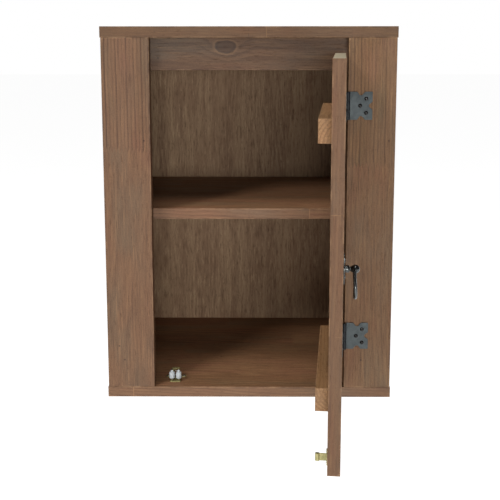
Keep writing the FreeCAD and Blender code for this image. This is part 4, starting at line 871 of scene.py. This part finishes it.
def hinge_leaf(name, side, level, stretches, gaps, body, place, centre):
    """Leaf plate cut back beside the other leaf's knuckles, and its own knuckles."""
    sheet = plate(butterfly_outline(side), 1.2 * MM, 0.22 * MM)
    bmesh.ops.translate(sheet, verts=sheet.verts, vec=(0, -1.2 * MM + 3 * MM, 0))
    for low, high in gaps:
        middle = Vector((side * 1.6 * MM, 2.4 * MM, (low + high) / 2))
        sheet = boxed_out(sheet, middle, (3.5 * MM, 3 * MM, high - low))
    tubes = [knuckle(low, high) for low, high in stretches]
    whole = joined(sheet, *tubes)
    bmesh.ops.translate(whole, verts=whole.verts, vec=Vector(centre) + Vector((0, 0, level)))
    piece = finish_piece(name + "_steel", whole, MATERIALS["hinge"], body, [name], place, soft_angle=35)
    # knuckle faces get the near-black copy of the leaf steel: painted shade, not a different metal
    piece.data.materials.append(MATERIALS["knuckle"])
    for polygon in piece.data.polygons:
        local = place.inverted() @ polygon.center - Vector(centre)
        polygon.material_index = int(local.xy.length < 3.05 * MM)


HINGE_LEVELS = {"upper": -0.066, "lower": -0.389}
END_KNUCKLES = [(-19 * MM, -7 * MM), (7 * MM, 19 * MM)]
MIDDLE_KNUCKLE = [(-6.7 * MM, 6.7 * MM)]
for which, level in HINGE_LEVELS.items():
    hinge_leaf(which + "_hinge_frame_leaf", 1, level, END_KNUCKLES, [(-7.3 * MM, 7.3 * MM)], "carcass", STILL, AXIS)
    hinge_leaf(which + "_hinge_door_leaf", -1, level, MIDDLE_KNUCKLE, [(-19.5 * MM, -6.7 * MM), (6.7 * MM, 19.5 * MM)], "door", DOOR,
               (0, 0, 0))
    pin = lathe(rounded_profile([(0, -19 * MM), (1.5 * MM, -19 * MM), (1.5 * MM, 19 * MM), (0, 19 * MM)], 0.4 * MM), 28)
    bmesh.ops.translate(pin, verts=pin.verts, vec=AXIS + Vector((0, 0, level)))
    finish_piece(which + "_hinge_pin_steel", pin, MATERIALS["dark_screw"], "carcass", [which + "_hinge_pin"], soft_angle=35)

LEAF_SPOTS = [(16.8 * MM, 0.0, 0.6), (25 * MM, 9.6 * MM, 2.1), (25 * MM, -9.6 * MM, 1.2)]
fasteners("frame_leaf_screw_heads", [((AXIS.x + x, AXIS.y + 1.8 * MM, level + z), Y, spin + level * 9)
                                     for level in HINGE_LEVELS.values() for x, z, spin in LEAF_SPOTS],
          MATERIALS["dark_screw"], "carcass", ["frame_leaf_screws"], SMALL_SCREW)
fasteners("door_leaf_screw_heads", [((-x, 1.8 * MM, level + z), Y, spin + level * 5)
                                    for level in HINGE_LEVELS.values() for x, z, spin in LEAF_SPOTS],
          MATERIALS["dark_screw"], "door", ["door_leaf_screws"], SMALL_SCREW, place=DOOR)
fasteners("batten_screw_heads", [((x, y - 1.3 * MM, z), -Y, x * 50 + z * 90) for x, y, z in BATTEN_SCREWS],
          MATERIALS["dark_screw"], "door", ["batten_screws"],
          SMALL_SCREW[:-1] + [("Length", 24 * MM)], place=DOOR)

# ---- ring pull ------------------------------------------------------------------------------------

PULL = Vector((-0.2378, 0.003, -0.2295))


def lobed_outline():
    """Backplate: a round middle between two smaller lobes, with waisted sides."""
    points = []
    for step in range(96):
        turn = 2 * math.pi * step / 96
        x, z = math.cos(turn), math.sin(turn)
        middle = 9.0 if abs(x) > 0.62 else 0.0
        rise = 12.0
        inside = 36.0 - (rise * x) ** 2
        lobe = rise * abs(z) + math.sqrt(max(inside, 0.0)) if inside > 0 else 0.0
        points.append((max(middle, lobe, 6.0 / max(abs(x), 1e-6) if abs(z) < 0.9 and abs(x) > 0.42 else 0.0), x, z))
    return [(PULL.x + r * x * MM, PULL.z + r * z * MM) for r, x, z in points]


pull_plate = plate(lobed_outline(), 1.2 * MM, 0.3 * MM)
bmesh.ops.translate(pull_plate, verts=pull_plate.verts, vec=(0, 1.8 * MM, 0))
finish_piece("pull_backplate_metal", pull_plate, MATERIALS["pull"], "door", ["pull_backplate"], DOOR, soft_angle=30)


def pull_post():
    """Turned post: beaded foot, waisted neck and a flattened ball, drawn along Z from the door's face."""
    profile = [(0, -10), (2.0, -10), (2.0, 1.2), (4.2, 1.2), (4.2, 2.0), (3.7, 2.3), (3.7, 2.6), (4.2, 2.9), (4.2, 5.4),
               (3.9, 6.1), (3.2, 6.5), (2.5, 6.9), (2.4, 7.6), (2.7, 8.2), (3.3, 8.6)]
    for step in range(3, 13):
        turn = math.pi * step / 12
        profile.append((5.0 * math.sin(turn), 13.1 - 5.0 * math.cos(turn)))
    return lathe([(r * MM, h * MM) for r, h in profile[:-1]] + [(0, 18.1 * MM)], 40)


post = pull_post()
post.transform(Matrix.Translation(PULL) @ Matrix.Rotation(math.pi / 2, 4, "X"))
finish_piece("pull_post_metal", post, MATERIALS["pull"], "door", ["pull_post"], DOOR, soft_angle=38)


def ring_mesh():
    """Drop ring: bar through the ball, shoulders, and a bow that thickens towards the bottom."""
    shoulder, bow, drop = 7.8, 13.0, 32.4
    middle = bow - drop
    lean = math.acos(bow / math.hypot(shoulder, middle)) if False else 0.0
    start = math.atan2(-middle, shoulder)
    reach = math.hypot(shoulder, middle)
    angle = start - math.acos(bow / reach) + lean
    touch = (bow * math.cos(angle), middle + bow * math.sin(angle))
    half = [(0.0, 0.0), (3.5, 0.0), (6.4, 0.0)] + arc((6.6, -1.2), 1.2, 90, 12, 4)
    steps = 7
    for step in range(1, steps):
        t = step / steps
        half.append((7.8 + (touch[0] - 7.8) * t, -1.6 + (touch[1] + 1.6) * t))
    half += arc((0.0, middle), bow, math.degrees(angle), -90, 18)
    path = half + [(-x, z) for x, z in half[-2:0:-1]]
    points, radii = [], []
    for x, z in path:
        low = min(1.0, max(0.0, -z / drop))
        radii.append((1.45 if z > -0.5 else 1.75 + 0.42 * math.sin(low * math.pi / 2)) * MM)
        points.append(Vector((x, 0.45 * math.sin(low * 2 * math.pi), z)) * MM)
    return sweep(points, radii, 20, closed=True)


ring = ring_mesh()
bmesh.ops.translate(ring, verts=ring.verts, vec=PULL + Vector((0, -13.1 * MM, 0)))
finish_piece("pull_ring_metal", ring, MATERIALS["pull"], "pull_ring", ["pull_ring"], DOOR, soft_angle=50)
fasteners("pull_screw_heads", [((PULL.x, 1.8 * MM, PULL.z + k * 9.4 * MM), Y, 0.4 + k) for k in (-1, 1)],
          MATERIALS["dark_screw"], "door", ["pull_screws"], SMALL_SCREW, place=DOOR)

# ---- roller catch ---------------------------------------------------------------------------------

CATCH = Vector((-0.1064, -0.307, -0.465))


def flat_sheet(outline, thick, holes=()):
    """Sheet lying flat: outline in x and y, from z=0 up."""
    bm = plate([(x, -y) for x, y in outline], thick, 0.18 * MM, holes)
    bm.transform(Matrix.Rotation(math.pi / 2, 4, "X"))
    return bm


def base_outline():
    """Base plate: narrow under the rollers, round-ended ears behind."""
    right = [(7.0, 2.5), (7.5, 3.0), (7.5, 18.5), (8.6, 20.5)] + arc((10.5, 25.0), 4.5, -90, 90, 10)
    points = right + [(-x, y) for x, y in reversed(right)]
    return [(x * MM, y * MM) for x, y in points]


base = flat_sheet(base_outline(), 1.0 * MM)
bmesh.ops.translate(base, verts=base.verts, vec=CATCH)
finish_piece("catch_base_plate", base, MATERIALS["zinc_yellow"], "carcass", ["catch_base"], soft_angle=35)

strap_points = [(x * MM, y * MM) for x, y in arc((2.55, 0), 3.2, -90, 90, 10) + arc((-2.55, 0), 3.2, 90, 270, 10)]
strap = flat_sheet(strap_points, 1.0 * MM)
bmesh.ops.translate(strap, verts=strap.verts, vec=CATCH + Vector((0, 19 * MM, 14 * MM)))
finish_piece("catch_strap_plate", strap, MATERIALS["zinc_yellow"], "carcass", ["catch_strap"], soft_angle=35)

RIVET = [("Head Radius", 1.9 * MM), ("Head Height", 0.6 * MM), ("Dome", 0.85), ("Slot Width", 0.0), ("Slot Depth", 0.0),
         ("Shank Radius", 1.2 * MM), ("Length", 15 * MM)]
fasteners("catch_rivet_heads", [((CATCH.x + k * 4 * MM, CATCH.y + 19 * MM, CATCH.z + 15 * MM), -Z, 0.0) for k in (-1, 1)],
          MATERIALS["zinc_yellow"], "carcass", ["catch_rivets"], RIVET, slotted=False)
fasteners("catch_screw_heads", [((CATCH.x + k * 11 * MM, CATCH.y + 25 * MM, CATCH.z + 1 * MM), -Z, 0.7 + k) for k in (-1, 1)],
          MATERIALS["bright"], "carcass", ["catch_screws"], SMALL_SCREW)

legs = 4 + 2.2 + 0.2 + 0.4
hairpin = [Vector((legs, y, 0)) for y in (-7, -5, -3, -1)]
hairpin += [Vector((x, y, 0)) for x, y in arc((0, 0), legs, 0, 180, 24)]
hairpin += [Vector((-legs, y, 0)) for y in (-1, -3, -5, -7)]
spring = sweep([p * MM for p in hairpin], 0.4 * MM, 12)
bmesh.ops.translate(spring, verts=spring.verts, vec=CATCH + Vector((0, 19 * MM, 8 * MM)))
finish_piece("catch_spring_wire", spring, MATERIALS["bright"], "carcass", ["catch_spring"], soft_angle=60)


def roller_set(name, side):
    """One arm with its barrel and lug, its headed pin, and the nylon roller."""
    pivot = CATCH + Vector((side * 4 * MM, 19 * MM, 1.3 * MM))
    outline = arc((0, 0), 2.3, 10, 170, 10) + arc((side * 0.8, -12), 2.3, 190, 350, 10)
    arm = flat_sheet([(x * MM, y * MM) for x, y in outline], 1.0 * MM)
    barrel = lathe(rounded_profile([(1.25 * MM, 0.3 * MM), (2.2 * MM, 0.3 * MM), (2.2 * MM, 12.4 * MM), (1.25 * MM, 12.4 * MM)], 0.3 * MM)
                   + [(1.25 * MM, 0.3 * MM)], 28)
    lug = board_mesh((-0.5 * MM, -1 * MM, 0.5 * MM), (0.5 * MM, 1 * MM, 8 * MM), 2, 0.15 * MM)
    bmesh.ops.translate(lug, verts=lug.verts, vec=(side * 1.7 * MM, -6 * MM, 0))
    whole = joined(arm, barrel, lug)
    bmesh.ops.translate(whole, verts=whole.verts, vec=pivot)
    finish_piece(name + "_roller_arm_steel", whole, MATERIALS["zinc_yellow"], name + "_arm", [name + "_roller_arm"],
                 soft_angle=35)
    axle = CATCH + Vector((side * 4.8 * MM, 7 * MM, 0))
    pin = lathe([(0, 1.3 * MM), (1.2 * MM, 1.3 * MM), (1.2 * MM, 16.55 * MM), (1.9 * MM, 16.55 * MM), (1.9 * MM, 16.75 * MM),
                 (1.6 * MM, 17.0 * MM), (0.9 * MM, 17.13 * MM), (0, 17.15 * MM)], 28)
    bmesh.ops.translate(pin, verts=pin.verts, vec=axle)
    finish_piece(name + "_roller_pin_steel", pin, MATERIALS["bright"], name + "_arm", [name + "_roller_pin"], soft_angle=35)
    shape = [(1.25, 3.5), (1.7, 3.5), (3.85, 4.9), (4.0, 5.2), (4.0, 8.2), (3.93, 8.3), (3.93, 8.6), (4.0, 8.7), (4.0, 12.7),
             (3.85, 13.2), (2.0, 13.5), (1.8, 13.7), (1.8, 16.3), (1.6, 16.5), (1.25, 16.5), (1.25, 3.5)]
    roller = lathe([(r * MM, h * MM) for r, h in shape], 44)
    bmesh.ops.translate(roller, verts=roller.verts, vec=axle)
    finish_piece(name + "_roller_nylon", roller, MATERIALS["nylon"], name + "_roller", [name + "_roller"], soft_angle=24)


roller_set("left", -1)
roller_set("right", 1)

# ---- strike ---------------------------------------------------------------------------------------

STRIKE = Vector((-0.2398, 0.018, -0.453))


def strike_mesh():
    """Folded strip: screwed plate, tight neck and a hollow rounded head that stands out from the door."""
    flange = plate([(x * MM, z * MM) for x, z in arc((0, 5.7), 4.5, 0, 180, 12) + arc((0, -5.7), 4.5, 180, 360, 12)], 1.0 * MM, 0.2 * MM)
    outer = [(0.55, 0.9), (0.45, 1.6), (0.45, 9.0), (0.6, 9.6)] + arc((0, 11.1), 2.0, -58, 0, 5) + arc((0, 12.4), 2.0, 0, 90, 7)
    inner = [(0.0, 13.8)] + arc((0, 12.4), 1.4, 80, 0, 6) + arc((0, 11.1), 1.4, 0, -80, 6) + [(0.0, 9.5)]
    loop = outer + [(-x, y) for x, y in reversed(outer[:-1])]
    tongue = bmesh.new()
    low, high = -4.5 * MM, 4.5 * MM
    hollow = inner + [(-x, y) for x, y in reversed(inner[1:-1])]
    rows = []
    for ring in (loop, hollow):
        rows.append([[tongue.verts.new((x * MM, y * MM, z)) for x, y in ring] for z in (low, high)])
    for bottom, top in rows:
        count = len(bottom)
        for i in range(count):
            j = (i + 1) % count
            tongue.faces.new((bottom[i], bottom[j], top[j], top[i]))
    for level in (0, 1):
        edges = []
        for ring in (rows[0][level], rows[1][level]):
            for i in range(len(ring)):
                edges.append(tongue.edges.get((ring[i], ring[(i + 1) % len(ring)])))
        bmesh.ops.triangle_fill(tongue, edges=edges, use_beauty=True)
    paint(tongue, "edge", lambda face, vert: 0.0)
    return joined(flange, tongue)


strike = strike_mesh()
bmesh.ops.translate(strike, verts=strike.verts, vec=STRIKE)
finish_piece("strike_loop", strike, MATERIALS["zinc_yellow"], "door", ["strike"], DOOR, soft_angle=35)
fasteners("strike_screw_heads", [((STRIKE.x, STRIKE.y + 1 * MM, STRIKE.z + k * 7.7 * MM), -Y, 0.9 * k) for k in (-1, 1)],
          MATERIALS["bright"], "door", ["strike_screws"], SMALL_SCREW, place=DOOR)

# ---- dowels and nails -----------------------------------------------------------------------------

DOWEL = [("Head Radius", 3.0 * MM), ("Head Height", 0.8 * MM), ("Dome", 0.5), ("Slot Width", 0.0), ("Slot Depth", 0.0),
         ("Shank Radius", 3.0 * MM), ("Length", 28.7 * MM)]
NAIL = [("Head Radius", 2.2 * MM), ("Head Height", 0.8 * MM), ("Dome", 0.12), ("Slot Width", 0.0), ("Slot Depth", 0.0),
        ("Shank Radius", 0.8 * MM), ("Length", 20 * MM)]


def upright(spots, face=9.5 * MM):
    """Dowels that stand in the bottom board and hang in the top board."""
    low = [((x, y, -0.465 - face + 28.7 * MM), -Z, 0.0) for x, y in spots]
    return low + [((x, y, 0.025 + face - 28.7 * MM), Z, 0.0) for x, y in spots]


def crossways(spots, face=9.5 * MM):
    """Dowels from the side panels into a cross board."""
    return [((side * (0.184 + face - 28.7 * MM), y, z), side * X, 0.0) for side in (-1, 1) for y, z in spots]


rows = (-0.264, -0.152, -0.04)
panel_spots = [(side * 0.1915, y) for side in (-1, 1) for y in rows]
stile_spots = [(side * (0.1665 + k * 0.016), -0.313) for side in (-1, 1) for k in (-1, 1)]
shelf_spots = [(y, -0.2205) for y in (-0.2535, -0.149, -0.0445)]
rail_spots = [(-0.2965, 0.003 + k * 0.012) for k in (-1, 1)]
hanger_spots = [(-0.0115, k * 0.012) for k in (-1, 1)]
for label, spots in (("side_panel_dowels", upright(panel_spots)), ("stile_dowels", upright(stile_spots)),
                     ("shelf_dowels", crossways(shelf_spots)), ("top_rail_dowels", crossways(rail_spots)),
                     ("hanging_rail_dowels", crossways(hanger_spots))):
    fasteners(label + "_beech", spots, MATERIALS["dowel"], "carcass", [label], DOWEL, slotted=False)

levels = [-0.405 + k * 0.37 / 3 for k in range(4)]
nail_spots = [(side * 0.1875, z) for side in (-1, 1) for z in levels]
nail_spots += [(x, z) for x in (-0.124, 0.0, 0.124) for z in (-0.4685, 0.0285)]
fasteners("back_panel_nail_heads", [((x, -0.6 * MM, z), -Y, 0.0) for x, z in nail_spots], MATERIALS["bright"], "carcass",
          ["back_panel_nails"], NAIL, slotted=False)


# ---- floor, light and camera ----------------------------------------------------------------------

def pale_floor():
    """Plain pale floor, well below the hanging cabinet."""
    bm = bmesh.new()
    bmesh.ops.create_grid(bm, x_segments=2, y_segments=2, size=30.0)
    bmesh.ops.translate(bm, verts=bm.verts, vec=(0, 0, -1.35))
    mesh = bpy.data.meshes.new("pale_floor")
    bm.to_mesh(mesh)
    bm.free()
    material, bench, shader = new_material("floor_paint")
    place = bench.add("ShaderNodeTexCoord").outputs["Object"]
    color = bench.blend(bench.cloud(place, 2.0, 2.0), srgb(250, 250, 249), srgb(247, 247, 246))
    bench.feed(shader.inputs["Base Color"], color)
    shader.inputs["Roughness"].default_value = 0.9
    shader.inputs["Emission Color"].default_value = (1, 1, 1, 1)
    shader.inputs["Emission Strength"].default_value = 0.9
    mesh.materials.append(material)
    floor = bpy.data.objects.new("pale_floor", mesh)
    bpy.context.scene.collection.objects.link(floor)


def softbox(name, spot, aim, size, power):
    """Rectangular area light turned towards a point."""
    data = bpy.data.lights.new(name, "AREA")
    data.shape = "RECTANGLE"
    data.size, data.size_y = size
    data.energy = power
    lamp = bpy.data.objects.new(name, data)
    lamp.location = spot
    lamp.rotation_euler = (Vector(aim) - Vector(spot)).to_track_quat("-Z", "Y").to_euler()
    bpy.context.scene.collection.objects.link(lamp)


def studio():
    """White surround, a key from the left front and a weak fill."""
    world = bpy.data.worlds.new("white_surround")
    world.use_nodes = True
    bench = Bench(world.node_tree)
    world.node_tree.nodes.clear()
    seen = bench.add("ShaderNodeLightPath").outputs["Is Camera Ray"]
    sky = bench.add("ShaderNodeBackground", {"Color": (1, 1, 1, 1), "Strength": bench.span(seen, 0, 1, 0.08, 1.0, smooth=False)})
    bench.add("ShaderNodeOutputWorld", {"Surface": sky.outputs[0]})
    bpy.context.scene.world = world
    softbox("key_softbox", (-2.3, -3.1, 2.4), (0.0, -0.2, -0.22), (0.9, 0.9), 84)
    softbox("front_softbox", (0.35, -3.6, -0.1), (0.0, -0.2, -0.22), (1.1, 0.7), 46)
    softbox("overhead_softbox", (-0.3, -1.1, 2.0), (0.0, -0.35, -0.22), (1.4, 0.6), 27)
    bpy.context.scene.view_settings.view_transform = "Standard"


def camera():
    """Camera in front of the cabinet, a little above its top."""
    data = bpy.data.cameras.new("front_view")
    data.sensor_width = 36.0
    data.lens = 907.4 / 500 * 36
    data.shift_y = -0.15
    data.clip_start, data.clip_end = 0.05, 100
    view = bpy.data.objects.new("front_view", data)
    yaw, pitch, roll = math.radians(-0.393), math.radians(8.837), math.radians(-0.027)
    view.location = (0.00995, -1.54809, 0.02983)
    view.rotation_euler = (Matrix.Rotation(-yaw, 3, "Z") @ Matrix.Rotation(math.pi / 2 - pitch, 3, "X") @ Matrix.Rotation(roll, 3, "Z")).to_euler()
    bpy.context.scene.collection.objects.link(view)
    bpy.context.scene.camera = view


pale_floor()
studio()
camera()
